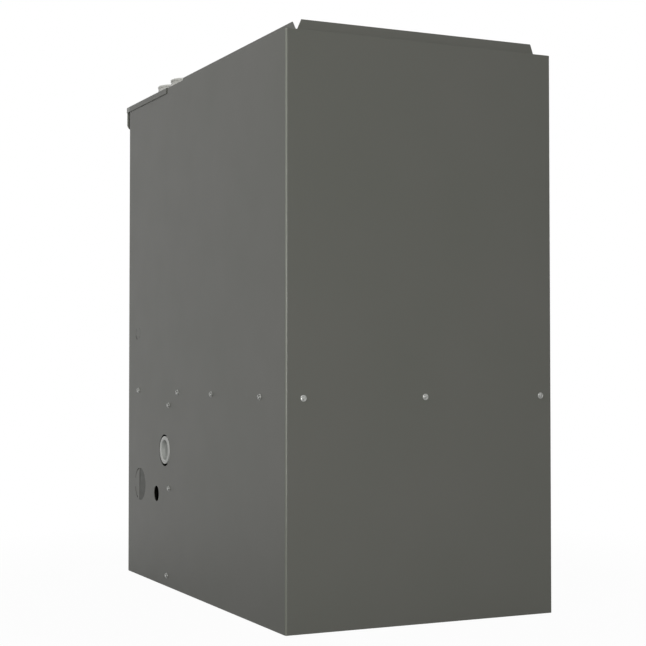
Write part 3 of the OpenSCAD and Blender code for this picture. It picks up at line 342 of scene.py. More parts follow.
def show(name, bm, material, body, nodes, edge, sharp, flat):
    """A bmesh as an object at the origin: smooth below `sharp` degrees, its edges rounded by `edge`
    millimetres, and with flat its shading ruled by its large faces."""
    mesh = bpy.data.meshes.new(name)
    bm.to_mesh(mesh)
    bm.free()
    mesh.polygons.foreach_set("use_smooth", np.ones(len(mesh.polygons), bool))
    mesh.set_sharp_from_angle(angle=radians(sharp))
    mesh.materials.append(material)
    piece = bpy.data.objects.new(name, mesh)
    bpy.context.scene.collection.objects.link(piece)
    if edge:
        bevel = piece.modifiers.new("rounded edges", "BEVEL")
        bevel.width = edge / 1000
        bevel.segments = 2
        bevel.limit_method = "ANGLE"
        bevel.angle_limit = radians(sharp)
        bevel.harden_normals = True
    if flat:
        piece.modifiers.new("flat panels", "WEIGHTED_NORMAL").keep_sharp = True
    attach(piece, body)
    if nodes:
        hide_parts(*nodes)


def put(name, parts, material, *nodes, body=None, slot=None, edge=0.0, sharp=35, flat=False):
    """One piece from parts in millimetres, its doubled points merged and its faces turned outwards. It
    stands for the nodes and rides the first one's body, or else the body named, or the cabinet."""
    points, faces = joined(*parts)
    mesh = bpy.data.meshes.new(name)
    mesh.from_pydata(points / 1000, [], faces)
    bm = bmesh.new()
    bm.from_mesh(mesh)
    bpy.data.meshes.remove(mesh)
    bmesh.ops.remove_doubles(bm, verts=bm.verts, dist=MERGE)
    bmesh.ops.recalc_face_normals(bm, faces=bm.faces)
    body = body_of(nodes[0]) if nodes else body or "cabinet"
    show(name, bm, material, body, nodes, edge, sharp, flat)


def dress(node, material, edge):
    """A CAD node's own shape as one skin: a copy with doubled points merged and its flat faces joined."""
    bm = bmesh.new()
    bm.from_mesh(frame["nodes"][node].data)
    bmesh.ops.remove_doubles(bm, verts=bm.verts, dist=MERGE)
    bmesh.ops.dissolve_limit(bm, angle_limit=radians(0.6), verts=bm.verts[:], edges=bm.edges[:])
    show(node + "_skin", bm, material, body_of(node), [node], edge, 50, True)


# ---- finishes ------------------------------------------------------------


def colour(code):
    """An sRGB hex code as linear RGBA."""
    s = np.array([int(code[i:i + 2], 16) for i in (0, 2, 4)]) / 255
    return (*np.where(s <= 0.04045, s / 12.92, ((s + 0.055) / 1.055) ** 2.4).tolist(), 1.0)


def add(tree, kind, inputs=None, stops=(), **settings):
    """Adds a shader node and returns its outputs: settings are its properties, stops the places and sRGB
    codes of its ramp, and each input takes a constant or the socket that feeds it."""
    made = tree.nodes.new("ShaderNode" + kind)
    for name, value in settings.items():
        setattr(made, name, value)
    for k, (place, code) in enumerate(stops):
        ramp = made.color_ramp.elements
        stop = ramp[k] if k < len(ramp) else ramp.new(place)
        stop.position, stop.color = place, colour(code)
    for name, value in (inputs or {}).items():
        if isinstance(value, bpy.types.NodeSocket):
            tree.links.new(value, made.inputs[name])
        else:
            made.inputs[name].default_value = value
    return made.outputs


def finish(name, slot, look, *values, **more):
    """A material with a name; slot names one of the record's slots and is not used. Its Principled shader
    takes the inputs that the look works out on the object's own coordinates in metres."""
    material = bpy.data.materials.new(name)
    material.use_nodes = True
    tree = material.node_tree
    tree.nodes.clear()
    where = add(tree, "TexCoord")["Object"]
    shader = add(tree, "BsdfPrincipled", look(tree, where, *values, **more))[0]
    add(tree, "OutputMaterial", {"Surface": shader})
    return material


def patterned(tree, where, tint=None, gloss=None, grain=None, under=None):
    """Shader inputs that each follow a texture: a socket, or (blotch in mm, detail) for soft noise. After
    it, tint gives two sRGB codes and gloss two roughnesses, with the texture's values at both if not 0.3
    and 0.7; grain gives the depth in mm of a bump, which lies over the normal `under`."""
    fed = {}
    for socket, rule in {"Base Color": tint, "Roughness": gloss, "Normal": grain}.items():
        if not rule:
            continue
        source, low, high, start, end = (*rule, 0.3, 0.7)[:5] if len(rule) > 2 else (*rule, 0, 0, 0)
        if isinstance(source, tuple):
            noise = {"Vector": where, "Scale": 1000 / source[0], "Detail": source[1]}
            source = add(tree, "TexNoise", noise)[0]
        if socket == "Base Color":
            fed[socket] = add(tree, "ValToRGB", {"Fac": source}, ((start, low), (end, high)))[0]
        elif socket == "Roughness":
            spread = {"Value": source, "From Min": start, "From Max": end, "To Min": low, "To Max": high}
            fed[socket] = add(tree, "MapRange", spread)[0]
        else:
            relief = {"Height": source, "Strength": 1.0, "Distance": low / 1000}
            if under:
                relief["Normal"] = under
            fed[socket] = add(tree, "Bump", relief)[0]
    return fed


def enamel(tree, where):
    """Polyester enamel baked on steel sheet: satin, with the faint orange peel of a roller-coated paint, and
    glossier where the right side is bent and gets rubbed; paler there by a painted highlight, lighter to the
    top."""
    place = add(tree, "SeparateXYZ", {"Vector": where})
    depth = add(tree, "Math", {0: place["Y"]}, operation="ABSOLUTE")[0]
    sides = [add(tree, "MapRange", {"Value": value, "From Min": start, "From Max": start + 0.001})[0]
             for value, start in ((place["X"], (SIDE_X - BEND_HIGHLIGHT_AND_WEAR) / 1000), (depth, (BACK_Y - BEND_HIGHLIGHT_AND_WEAR) / 1000))]
    bend = add(tree, "Math", {0: sides[0], 1: sides[1]}, operation="MULTIPLY")[0]
    wave = patterned(tree, where, grain=((400, 1), 0.35))["Normal"]
    fed = patterned(tree, where, ((260, 3), "5a5b55", "5d5d58"), ((60, 3), 0.37, 0.40), ((2.4, 2), 0.008),
                    wave)
    # painted highlight on the right side's bends, paler towards the top, together with rubbed enamel there
    highlight_and_wear = patterned(tree, where, (place["Z"], "6a6c64", "7a7c74", 0.1, 0.6))["Base Color"]
    tints = {"Factor": bend, 6: fed["Base Color"], 7: highlight_and_wear}
    fed["Base Color"] = add(tree, "Mix", tints, data_type="RGBA")[2]
    fed["Roughness"] = add(tree, "Mix", {"Factor": bend, 2: fed["Roughness"], 3: 0.22})[0]
    return {"Specular IOR Level": 0.2, **fed}


def galvanised(tree, where):
    """Hot-dip galvanised sheet: dull zinc in frost-like spangles 8 mm across, each a little lighter or
    rougher."""
    spangle = add(tree, "TexVoronoi", {"Vector": where, "Scale": 1000 / 8})["Color"]
    grey = add(tree, "SeparateColor", {"Color": spangle})["Red"]
    return {"Metallic": 1.0,
            **patterned(tree, where, (grey, "94979a", "b0b3b5", 0.0, 1.0), (grey, 0.36, 0.52, 0.0, 1.0),
                        ((1.5, 2), 0.006))}


def zinc(tree, where):
    """Bright zinc-plated screws: a clear grey gleam with fine handling marks."""
    return {"Metallic": 1.0, "Base Color": colour("a5a6a3"),
            **patterned(tree, where, gloss=((1.2, 3), 0.28, 0.42))}


def moulded(tree, where, low, high, rough, grain=0.8, depth=0.02):
    """Injection-moulded plastic: a fine spark-eroded grain that breaks up the gloss, and a slight colour
    drift."""
    return patterned(tree, where, ((30, 2), low, high), ((6, 2), rough - 0.06, rough + 0.06),
                     ((grain, 2), depth))


def painted(tree, where, low, high, rough, shine=0.5):
    """Sprayed machine enamel: even colour, a light orange peel and a soft gloss."""
    return {"Specular IOR Level": shine,
            **patterned(tree, where, ((40, 2), low, high), ((9, 2), rough - 0.05, rough + 0.05),
                        ((1.4, 2), 0.015))}


def bare_metal(tree, where, low, high, rough, blotch, grain=1.2, depth=0.008):
    """Bare metal as it left the mill or the mould: blotches in tone and gloss, and a fine surface grain."""
    return {"Metallic": 1.0,
            **patterned(tree, where, ((blotch, 3), low, high), ((blotch, 3), rough - 0.07, rough + 0.07),
                        ((grain, 2), depth))}


def foil(tree, where):
    """Foil-faced insulation: aluminium foil crinkled in folds 11 mm apart over the soft lumps of glass
    wool."""
    cells = {"Vector": where, "Scale": 1000 / 11}
    crease = add(tree, "TexVoronoi", cells, feature="DISTANCE_TO_EDGE")["Distance"]
    fold = add(tree, "MapRange", {"Value": crease, "From Max": 0.12, "To Min": 1.0, "To Max": 0.0})[0]
    pillow = patterned(tree, where, grain=((28, 3), 1.0))["Normal"]
    return {"Metallic": 1.0, "Base Color": colour("c8c9ca"),
            **patterned(tree, where, gloss=((9, 2), 0.22, 0.42), grain=(fold, 0.25), under=pillow)}


def aluminised(tree, where):
    """Aluminised steel of the heat exchanger: dull grey, straw and blue where the flame has heated it."""
    place = add(tree, "SeparateXYZ", {"Vector": where})
    drift = add(tree, "TexNoise", {"Vector": where, "Scale": 1000 / 60, "Detail": 3})[0]
    heat = add(tree, "Math", {0: place["Z"], 1: drift}, operation="ADD")[0]
    heat = add(tree, "MapRange", {"Value": heat, "From Min": 0.98, "From Max": 1.4})[0]
    tint = add(tree, "ValToRGB", {"Fac": heat}, ((0.0, "8f8e8b"), (0.55, "8b7d66"), (1.0, "6d6f78")))[0]
    return {"Metallic": 1.0, "Base Color": tint,
            **patterned(tree, where, gloss=((14, 3), 0.38, 0.56), grain=((1.6, 2), 0.008))}


def board_green(tree, where):
    """Glass-epoxy circuit board: green solder mask over copper tracks that run 2.5 mm apart."""
    turn = add(tree, "Mapping", {"Vector": where, "Rotation": (radians(90), 0, 0)})[0]
    tracks = add(tree, "TexBrick", {
        "Vector": turn, "Scale": 1.0, "Mortar Size": 0.00035, "Brick Width": 0.017, "Row Height": 0.0025,
        "Color1": colour("1d5a38"), "Color2": colour("17492d"), "Mortar": colour("2f7a4c")})
    return {"Base Color": tracks["Color"], "Roughness": 0.3, "Coat Weight": 0.4, "Coat Roughness": 0.15,
            **patterned(tree, where, grain=(tracks["Fac"], 0.03))}


def laminated(tree, where):
    """Stacked transformer plates: dark varnished steel in layers 0.5 mm thick, drawn at 1 mm to show."""
    bands = {"Vector": where, "Scale": 160.0, "Distortion": 0.6}
    layers = add(tree, "TexWave", bands, bands_direction="Y")["Fac"]
    return {"Metallic": 0.6,
            **patterned(tree, where, (layers, "2c2b2a", "4c4a47", 0.2, 0.8), ((8, 2), 0.4, 0.55),
                        (layers, 0.12))}


def clear_glass(tree, where):
    """Borosilicate sight glass: colourless, with a faint ripple."""
    return {"Base Color": colour("f4f7f7"), "Roughness": 0.04, "IOR": 1.47, "Transmission Weight": 1.0,
            **patterned(tree, where, grain=((12, 1), 0.02))}


ENAMEL = finish("baked_enamel_steel", "panel_paint", enamel)
# the pressed knockout flap's enamel: a low shine, and a darker colour that is painted shade
SHADED_FLAP_ENAMEL = finish("knockout_flap_enamel_painted_shade", "panel_paint", painted, "4c4d49", "50514d", 0.5, shine=0.15)
GALVANISED = finish("galvanised_sheet", "galvanized", galvanised)
ZINC = finish("zinc_plated_screw", "zinc", zinc)
FOIL = finish("foil_faced_lining", None, foil)
ALUMINISED = finish("aluminised_steel", "aluminized_steel", aluminised)
CIRCUIT = finish("circuit_board_green", "board_green", board_green)
LAMINATED = finish("laminated_core", "core_steel", laminated)
GLASS = finish("sight_glass", "clear_lens", clear_glass)
BLACK_PLASTIC = finish("black_polypropylene", "black_plastic", moulded, "161617", "1e1e1f", 0.48)
GREY_PLASTIC = finish("grey_polypropylene", "light_plastic", moulded, "a9aaa6", "b2b3af", 0.42)
# the trap cap's dish: a coarser grain, and a darker grey that is painted shade in the recess
SHADED_DISH_PLASTIC = finish("grained_polypropylene_painted_shade", "light_plastic", moulded, "888a86", "929490", 0.6, 1.2,
                      0.06)
PALE_PLASTIC = finish("pale_nylon", "light_plastic", moulded, "b9b8b0", "c4c3bb", 0.45)
RED_PLASTIC = finish("red_nylon", "red_plastic", moulded, "a81f1a", "b62620", 0.4)
ORANGE_PLASTIC = finish("orange_nylon", "red_plastic", moulded, "c9501f", "d35a26", 0.4)
PVC = finish("white_pvc_pipe", "pvc", moulded, "bdbdb7", "c6c6c0", 0.36, 3.0, 0.01)
RUBBER = finish("black_epdm_rubber", "rubber", moulded, "131314", "1b1b1c", 0.7, 0.6, 0.03)
CERAMIC = finish("glazed_ceramic", "ceramic", moulded, "ddd8cc", "e6e2d8", 0.3, 1.5, 0.01)
JACKETS = {"black": ("17171a", "202024"), "red": ("a32320", "b02a26"), "white": ("c9c9c4", "d4d4cf"),
           "blue": ("2a4f9a", "325aa8"), "yellow": ("c9a52a", "d3b033")}
WIRES = [finish(tone + "_wire_jacket", "wire_jacket", moulded, *codes, 0.42, 2.0, 0.01)
         for tone, codes in JACKETS.items()]
WINDING = finish("varnished_winding_tape", "wire_jacket", painted, "8a6b3c", "9b7a46", 0.42)
NITRIDE = finish("silicon_nitride", "ceramic", painted, "2a2a2d", "36363a", 0.5)
MOTOR_BLACK = finish("black_motor_enamel", "motor_enamel", painted, "1c1d1f", "242527", 0.38)
BLACK_IRON = finish("black_iron_pipe", None, painted, "262627", "313132", 0.5)
CAST = finish("cast_aluminium", None, bare_metal, "9b9c9d", "a9aaab", 0.5, 20, 0.9, 0.03)
FINS = finish("fin_aluminium", "coil_metal", bare_metal, "b4b7ba", "c4c7ca", 0.34, 30)
STEEL = finish("bright_steel", "wheel_steel", bare_metal, "a2a4a6", "b8babc", 0.3, 8)
BURNER_STEEL = finish("burner_steel", "aluminized_steel", bare_metal, "77736c", "8f8b84", 0.45, 18)
BRASS = finish("turned_brass", "brass", bare_metal, "b8924a", "c8a257", 0.28, 6)

# ---- cabinet -------------------------------------------------------------


def casing():
    """The wrap of the cabinet: one bent sheet from the left door stop round the rear to the right one, with
    the turned-in edges and the duct flanges as strips of their own, and the loosened half of the large
    knockout."""
    side, front, back = SIDE_X - HALF, FRONT_Y + HALF, BACK_Y - HALF
    jamb, stop = SIDE_X - JAMB_W + HALF, FRONT_Y + JAMB_D - HALF
    left = [(-SIDE_X + 26, stop), (-jamb, stop), (-jamb, front), (-side, front), (-side, back)]
    path = left + [(-x, y) for x, y in left[::-1]]
    slits = [(KNOCKOUT, 29, 1.6, 105, 160), (KNOCKOUT, 29, 2.2, 192, 242),
             (SMALL_KNOCKOUT, 12, 2.2, 200, 255), (SMALL_KNOCKOUT, 12, 0.9, 140, 196),
             (SMALL_KNOCKOUT, 12, 0.9, -50, 50)]
    cuts = [slit(*at, *arc) for at, *arc in slits]
    cuts.append(circle(*KNOCKOUT, 29, 40, -radians(99.9), radians(99.9)))
    port = circle(back - PORT[0], PORT[1], 27.5, 56)
    drain = circle(back - DRAIN[0], DRAIN[1], 13.5)
    holes = {3: [circle(GAS_ENTRY[0] - front, GAS_ENTRY[1], 20)],
             5: [port, drain, *(loop * (-1, 1) + (back, 0) for loop in cuts)]}
    parts = [sheet_metal(path, [1.2, 1.2, 1.2, 2.4, 2.4, 1.2, 1.2, 1.2], 0, TOP_Z, "z", holes)]
    flap = prism(circle(*KNOCKOUT, 28.6, 40, -radians(100), radians(100)), side - SHEET, side, "x")
    # the flap's darker enamel is painted shade
    put("knockout_pressed", spun(flap, "z", (side, KNOCKOUT[0] - 5, 0), [-1.2]), SHADED_FLAP_ENAMEL, sharp=30)

    def flange(x, way, top, lo, hi, lean, axis):
        """A strip that a fold at x brings upright from the ledge to the top, each end leaning in by its
        share."""
        line, normal, _ = folded([(x + 4 * way, TOP_Z - HALF), (x, TOP_Z - HALF), (x, top)], 1.2, 6)
        outline = np.concatenate([line + HALF * normal, (line - HALF * normal)[::-1]])
        rise = np.clip(outline[:, 1] - TOP_Z, 0, None) / (top - TOP_Z)
        return prism(outline, lo + lean[0] * rise, hi - lean[1] * rise, axis)

    for at_side, at_rear, lo, hi in ((20, 10, TOP_Z - SHEET - 0.02, TOP_Z - 0.02), (25, 25, 0.02, SHEET)):
        parts += [box((s * (SIDE_X - at_side), FRONT_Y + 1, lo), (s * (SIDE_X - 1), BACK_Y - at_rear, hi))
                  for s in (-1, 1)]
        parts.append(box((1 - SIDE_X, BACK_Y - at_rear, lo), (SIDE_X - 1, BACK_Y - 1, hi)))
    parts += [flange(s * (SIDE_X - 20 + HALF), s, SIDE_RIM_Z, -132, end, (12, 12), "y")
              for s, end in ((-1, 345), (1, 353))]
    parts.append(flange(BACK_Y - 10 - HALF, 1, RIM_Z, -201.3, 203.5, (6, 7.5), "x"))
    put("casing_wrap_enamelled", parts, ENAMEL, "casing_wrap", sharp=30, flat=True)


def front_cap():
    """The cap over the burner space: a bent sheet with two pipe holes, and a lip with round lower
    corners."""
    side, top = SIDE_X + SHEET + 0.1 - HALF, TOP_Z + HALF
    path = [(-side - 0.15, TOP_Z - 9), (-side, top), (side, top), (side + 0.15, TOP_Z - 9)]
    holes = [circle(x + side, y, 31.65, 48) for x, y in (VENT, AIR)]
    low, r, half = TOP_Z - 41, 10.0, SIDE_X + 0.4
    lip = np.concatenate([[(half, top), (-half, top)], circle(-half + r, low + r, r, 12, pi, 1.5 * pi),
                          circle(half - r, low + r, r, 12, 1.5 * pi, 2 * pi - 0.001)])
    parts = [sheet_metal(path, 1.0, LIP_Y, STRIP_Y, "y", {1: holes}), prism(lip, LIP_Y, LIP_Y + SHEET, "y"),
             box((-half + r, LIP_Y + 0.2, low + 0.05), (half - r, FRONT_Y - 0.6, low + SHEET))]
    put("front_cap_enamelled", parts, ENAMEL, "front_cap", edge=0.25, sharp=40, flat=True)


def screw_head(at, axis, side, size=1.0):
    """A slotted hex washer-head screw: rings round its axis for the washer and the foot of the hexagon,
    whose radius is apothem / cos of the angle from the nearest flat, and on it the two halves of the
    hexagon that the slot leaves, each narrowed towards its own middle at the top. The slot leans about 45
    degrees, a little differently on each screw; size scales it all from a 6.4 mm head."""
    a, b, c = [at[i] for i in AXES[axis]]
    lean = radians((135 if axis == "x" else 45) + (a * 0.37 + b * 0.23) % 40 - 20)

    def hexed(t):
        return 3.2 / np.cos((t + pi / 6) % (pi / 3) - pi / 6)

    def rows(u, v, heights):
        x, y = u * np.cos(lean) - v * np.sin(lean), u * np.sin(lean) + v * np.cos(lean)
        heights = c + side * size * np.array(heights)[:, None]
        return grid(on_axis(a + size * x, b + size * y, heights, axis), round_v=True)

    t = np.linspace(0, 2 * pi, 36, endpoint=False)
    washer = [(0.5, -0.3, 0), (4.7, 0, 0), (4.7, 0.5, 0), (4.45, 0.75, 0), (3.4, 0.85, 0), (1, 0.95, 1),
              (1, 1.2, 1), (0.01, 1.2, 1)]
    r = np.array([radius * (hexed(t) if six else np.ones(36)) for radius, _, six in washer])
    made = [rows(r * np.cos(t), r * np.sin(t), [height for _, height, _ in washer])]
    t = np.linspace(-pi / 2, pi / 2, 19)
    u, v = np.maximum(hexed(t) * np.cos(t), 0.7), np.clip(hexed(t) * np.sin(t), -3.6, 3.6)
    width = np.array([1.0, 1.0, 0.86, 0.01])[:, None]
    made += [rows(way * (1.7 + (u - 1.7) * width), v * width, [1.0, 2.4, 2.85, 2.85]) for way in (-1, 1)]
    return joined(*made)


def heads(places, along, axis, side, size=1.0):
    """Screw heads at places (a, b) across an axis, all at one place along it."""
    return [screw_head(on_axis(a, b, along, axis), axis, side, size) for a, b in places]


def radial(a, b, r, degrees):
    """Places at radius r round (a, b), at angles in degrees."""
    return [(a + r * cos(t), b + r * sin(t)) for t in np.radians(degrees)]


def screws():
    """Every screw that holds the deck, the base and the trap to the casing."""
    both = [(-302.6, 335), (-92.6, 335), (67, 335), (266.5, 335), (-145, 18.5)]
    parts = heads(both, -SIDE_X, "x", -1) + heads(both + [(-137, 312), (-135, 169)], SIDE_X, "x", 1)
    parts += heads([(x, 335) for x in (-205, -2, 197)], BACK_Y, "y", 1)
    put("cabinet_screws_hex_heads", parts, ZINC, "cabinet_screws", sharp=30)


def pipes():
    """The two pipe ends, each a wall turned about its axis with a slightly wider rim, and their rubber
    collars: a flat flange on the cap and a bead that grips the pipe."""
    for node, at, low in (("vent_pipe", VENT, 545), ("air_pipe", AIR, 836)):
        profile = [(26.25, low), (30.15, low), (30.15, 892.6), (30.9, 893.4), (30.95, 896.2), (30.5, 896.9),
                   (27, 896.9), (26.4, 896.4), (26.25, 894), (26.25, low)]
        put(node + "_turned", [turned(profile, (*at, 0), "z", 96)], PVC, node, sharp=40)
    profile = [(30.25, 861), (31.5, 861), (31.5, 865.3), (34.2, 865.3), (34.5, 865.6), (34.3, 866.6),
               (32.6, 867), (31.8, 868), (30.6, 868.2), (30.25, 867.8), (30.25, 861)]
    collars = [turned(profile, (*at, 0), "z", 72) for at in (VENT, AIR)]
    put("pipe_seals_turned", collars, RUBBER, "pipe_seals", sharp=60)


def trap_cap():
    """The service cap of the trap: a flat ring turned about the port's axis, and the deep dish in it, whose
    floor carries two small driving cups."""
    y, z = -157, 234
    ring = [(17.2, 224.6), (17.6, 225.4), (18.2, 225.9), (18.8, 226), (23.2, 226), (23.8, 225.7), (24, 225.1),
            (24, 216.4), (18, 216.2), (18, 209.2), (0.01, 209)]
    put("trap_cap_ring", [turned(ring, (0, y, z), "x", 96)], GREY_PLASTIC, "trap_cap", sharp=40)
    dish = [(0.01, 218.6), (13.0, 218.6), (14.2, 219.0), (16.9, 223.8), (17.3, 225.0)]
    cup = [(0.01, 219.0), (1.5, 219.0), (1.7, 220.6), (2.3, 220.7), (2.6, 220.4), (2.7, 218.4)]
    cups = [turned(cup, (0, y, z + up), "x", 24) for up in (-10.5, 10.5)]
    # the dish's darker grey is painted shade
    put("trap_cap_dish", [turned(dish, (0, y, z), "x", 96), *cups], SHADED_DISH_PLASTIC, sharp=40)


def door(node, z_lo, z_hi, field_lo, field_hi, holes, extra):
    """A door pan. Its edge is a stack of rounded rectangles that follow the fold from the face back to the
    hem and in again; its face is a plate round the field and the holes, outside and inside; the field sinks
    2 mm over a ramp 3u^2 - 2u^3 of rounded rectangles."""
    half, field_half, r = 208.5, 160.5, 1.6

    def behind(loop, depth):
        return on_axis(*loop.T, FRONT_Y + depth, "y")

    def ring(inset):
        return rounded((inset - half, z_lo + inset), (half - inset, z_hi - inset), 2.2 - inset)

    def field(inset):
        return rounded((inset - field_half, field_lo + inset), (field_half - inset, field_hi - inset),
                       5 - inset)

    fold, over = np.linspace(0, pi / 2, 5), np.linspace(0, pi, 5)
    section = [(r - r * sin(a), r - r * cos(a)) for a in fold]
    section += [(0.6 - 0.6 * cos(a), 14.9 + 0.6 * sin(a)) for a in over]
    section += [(r - 0.4 * sin(a), r - 0.4 * cos(a)) for a in fold[::-1]]
    parts = [grid(np.stack([behind(ring(inset), depth) for inset, depth in section]), round_v=True), *extra]
    for back in (0, SHEET):
        ramp = [(field(3.2 * u), back + 2 * (3 * u * u - 2 * u ** 3)) for u in np.linspace(0, 1, 7)]
        points, faces = grid(np.stack([behind(*at) for at in ramp]), round_v=True)
        parts.append((points, faces + [list(range(len(points) - len(ramp[0][0]), len(points)))]))
        flat, triangles, _ = plate(ring(r), [field(0), *holes])
        parts.append((behind(flat, back), triangles))
    parts += [grid(np.stack([behind(loop, 0), behind(loop, SHEET)]), round_v=True) for loop in holes]
    put(node + "_pressed", parts, ENAMEL, node, sharp=30, flat=True)


def doors():
    """The burner door with its window hole and two hooks, and the blower door with its sight hole and the
    tab that pushes the door switch."""
    hooks = [box((x - 9, FRONT_Y + SHEET, 340), (x + 9, -334.5, 341.6)) for x in (-120, 120)]
    door("upper_door", 339, 821, 369, 725,
         [circle(WINDOW_X, BURNER_Z, 16.05, 48), circle(0, UPPER_KNOB_Z, 3.05, 20)], hooks)
    tab = sheet_metal([(-359.4, 320.8), (-339.7, 320.8), (-339.7, 308.5)], 1.2, -158, -142, "x")
    door("lower_door", 6, 335, 36, 225, [circle(0, LOWER_KNOB_Z, 3.05, 20), circle(-60, 255, 8, 32)], [tab])


def knob(node, z):
    """A thumbscrew: rings whose radius dips by 1.7 mm times the positive part of cos 12t at its twelve
    flutes, a dished end, and a shank whose rings step in and out every 0.5 mm as its thread."""
    t = np.linspace(0, 2 * pi, 96, endpoint=False)
    flute = 1.7 * np.clip(np.cos(12 * t), 0, 1) ** 0.7
    rows = np.array([(3.2, 0.3, 0), (16.9, 0.3, 0), (17.7, 0.8, 0), (18, 1.8, 0), (18, 2.4, 1), (18, 10.4, 1),
                     (17.7, 11.3, 1), (17, 12, 0.8), (15.8, 12.3, 0.3), (14.6, 12.1, 0), (14, 11.4, 0),
                     (13.2, 10.8, 0), (8, 10.7, 0), (5, 11.2, 0), (0.02, 11.5, 0)])
    r = rows[:, :1] - rows[:, 2:] * flute
    head = grid(on_axis(r * np.cos(t), z + r * np.sin(t), FRONT_Y - rows[:, 1:2], "y"), round_v=True)
    steps = np.arange(0, 26, 0.5)
    thread = np.stack([np.where(np.arange(len(steps)) % 2, 2.55, 2.95), steps], 1)
    shank = turned([(2.95, -0.4), *thread, (1.8, 28), (0.02, 28.6)], (0, FRONT_Y, z), "y", 24)
    put(node + "_fluted", [head], BLACK_PLASTIC, node, sharp=40)
    put(node + "_thread", [shank], ZINC, body=body_of(node), sharp=30)


def window():
    """The burner window: a turned bezel in the door, and a slightly domed glass in it."""
    at = (WINDOW_X, FRONT_Y, BURNER_Z)
    bezel = [(14, 4), (14.3, 4.3), (15.7, 4.3), (16, 4), (16, 0), (20.2, 0), (21, -0.6), (20.9, -1.6),
             (20.2, -2.3), (18.6, -2.6), (16.2, -2.5), (14.6, -1.9), (14.2, -1.2), (14, 4)]
    put("burner_window_bezel", [turned(bezel, at, "y", 72)], BLACK_PLASTIC, "burner_window", sharp=40)
    glass = [(0.02, -1.7), (5, -1.55), (9, -1.2), (12, -0.7), (13.9, -0.2), (13.9, 1.2), (0.02, 1.2)]
    put("burner_window_glass", [turned(glass, at, "y", 72)], GLASS, body=body_of("burner_window"), sharp=50)


casing()
front_cap()
screws()
pipes()
trap_cap()
doors()
knob("upper_knob", UPPER_KNOB_Z)
knob("lower_knob", LOWER_KNOB_Z)
window()

# ---- blower compartment --------------------------------------------------


def blower():
    """The blower: a scroll whose radius grows evenly from 123 to 160 mm over 260 degrees, its side plates
    with a flared inlet and a rolled seam, and the wheel of forward-curved blades whose offset grows as the
    square of the way out."""
    _, y, z = WHEEL
    a = np.radians(np.linspace(100, 360, 60))
    r = 123 + 37 * (a - a[0]) / (a[-1] - a[0])
    front, rear = y + 123 * cos(a[0]), y + 160
    spiral = np.stack([y + r * np.cos(a), z + r * np.sin(a)], 1)
    outline = np.concatenate([[(front, DECK_Z)], spiral, [(rear, DECK_Z)]])
    inner = (spiral - (y, z)) * (1 - SHEET / r)[:, None] + (y, z)
    inner[0, 0] = front + SHEET
    inner = np.concatenate([[(front + SHEET, DECK_Z)], inner, [(rear - SHEET, DECK_Z)]])
    flare = [(98, 0.3), (95, 0.2), (92, -1.4), (90, -5), (89.3, -10.5), (90.2, -10.6), (90.9, -5.5),
             (92.8, -2.4), (95.3, -1.2), (98, -1.2), (98, 0.3)]
    parts = [prism(np.concatenate([outline, inner[::-1]]), -115, 115, "x")]
    for s in (-1, 1):
        parts += drilled(outline, [circle(y, z, 97, 72)], s * 115, s * (115 - SHEET), "x", edge=False)
        parts.append(turned(flare, (s * 115, y, z), "x", 72, s))
        parts.append(tube(on_axis(*outline[1:-1].T, s * 114.6, "x"), 1.9, 8))
        parts.append(box((s * 114.9, front, 320), (s * 131, rear, 321.2)))
    put("blower_housing_seamed", parts, GALVANISED, "blower_housing", sharp=40, flat=True)

    u = np.linspace(0, 1, 7)
    blade = np.stack([93 + 20 * u, 8 * u ** 2], 1)
    blade = np.concatenate([blade, blade[::-1] + (0, 0.9)]) + (y, z)
    parts = spun(prism(blade, -99, 99, "x"), "x", WHEEL, np.arange(36) * 10)
    ring = [(106, -100), (112.8, -100), (114, -99), (114, -95), (112.8, -94), (111, -93.6), (106, -94.4),
            (106, -100)]
    parts += [turned(ring, WHEEL, "x", 96, s) for s in (-1, 1)]
    disc = [(6.4, 0), (15, 0), (16, 1), (16, 9), (19, 10), (60, 10), (64, 8.6), (84, 8.6), (88, 10),
            (110, 10), (110, 11.5), (88, 11.5), (84, 10.1), (64, 10.1), (60, 11.5), (19, 11.5), (16, 13),
            (16, 33), (15, 34), (6.4, 34), (6.4, 0)]
    parts.append(turned(disc, WHEEL, "x", 96))
    put("blower_wheel_bladed", parts, GALVANISED, "blower_wheel", slot="wheel_steel", sharp=40)


def motor():
    """The blower motor: a shell turned about the shaft with a rolled joint at each end bell, sixteen
    cooling ribs on each bell, four through bolts and the three bolts in the arms of its mount."""
    _, y, z = WHEEL
    shell = [(0.02, -128), (17, -128), (19, -127), (40, -125.6), (52, -123), (58, -119), (60.8, -115),
             (61, -107.6), (62, -107), (62, -105), (61, -104.4), (61, -43.6), (62, -43), (62, -41),
             (61, -40.4), (60.8, -33), (58, -29), (52, -25), (40, -22.4), (17, -20.6), (16, -19.6),
             (15.8, -15), (15, -14), (6.6, -14), (6.6, -60)]
    parts = [turned(shell, WHEEL, "x", 96)]
    rib = np.array([(-126.2, 21), (-124.6, 40), (-122.2, 52), (-117.5, 58), (-118.7, 58), (-124.4, 52),
                    (-127, 40), (-128, 21)])
    for line in (rib, rib * (-1, 1) - (148, 0)):
        parts += spun(prism(line + (0, y), z - 0.9, z + 0.9, "z"), "x", WHEEL, np.arange(16) * 22.5)
    put("blower_motor_shell", parts, MOTOR_BLACK, "blower_motor")
    bolts = heads(radial(y, z, 48, (22, 112, 202, 292)), -125.4, "x", -1, 0.9)
    put("motor_bolts", bolts + heads(radial(y, z, 101, (30, 150, 270)), -118, "x", -1), ZINC, sharp=30)


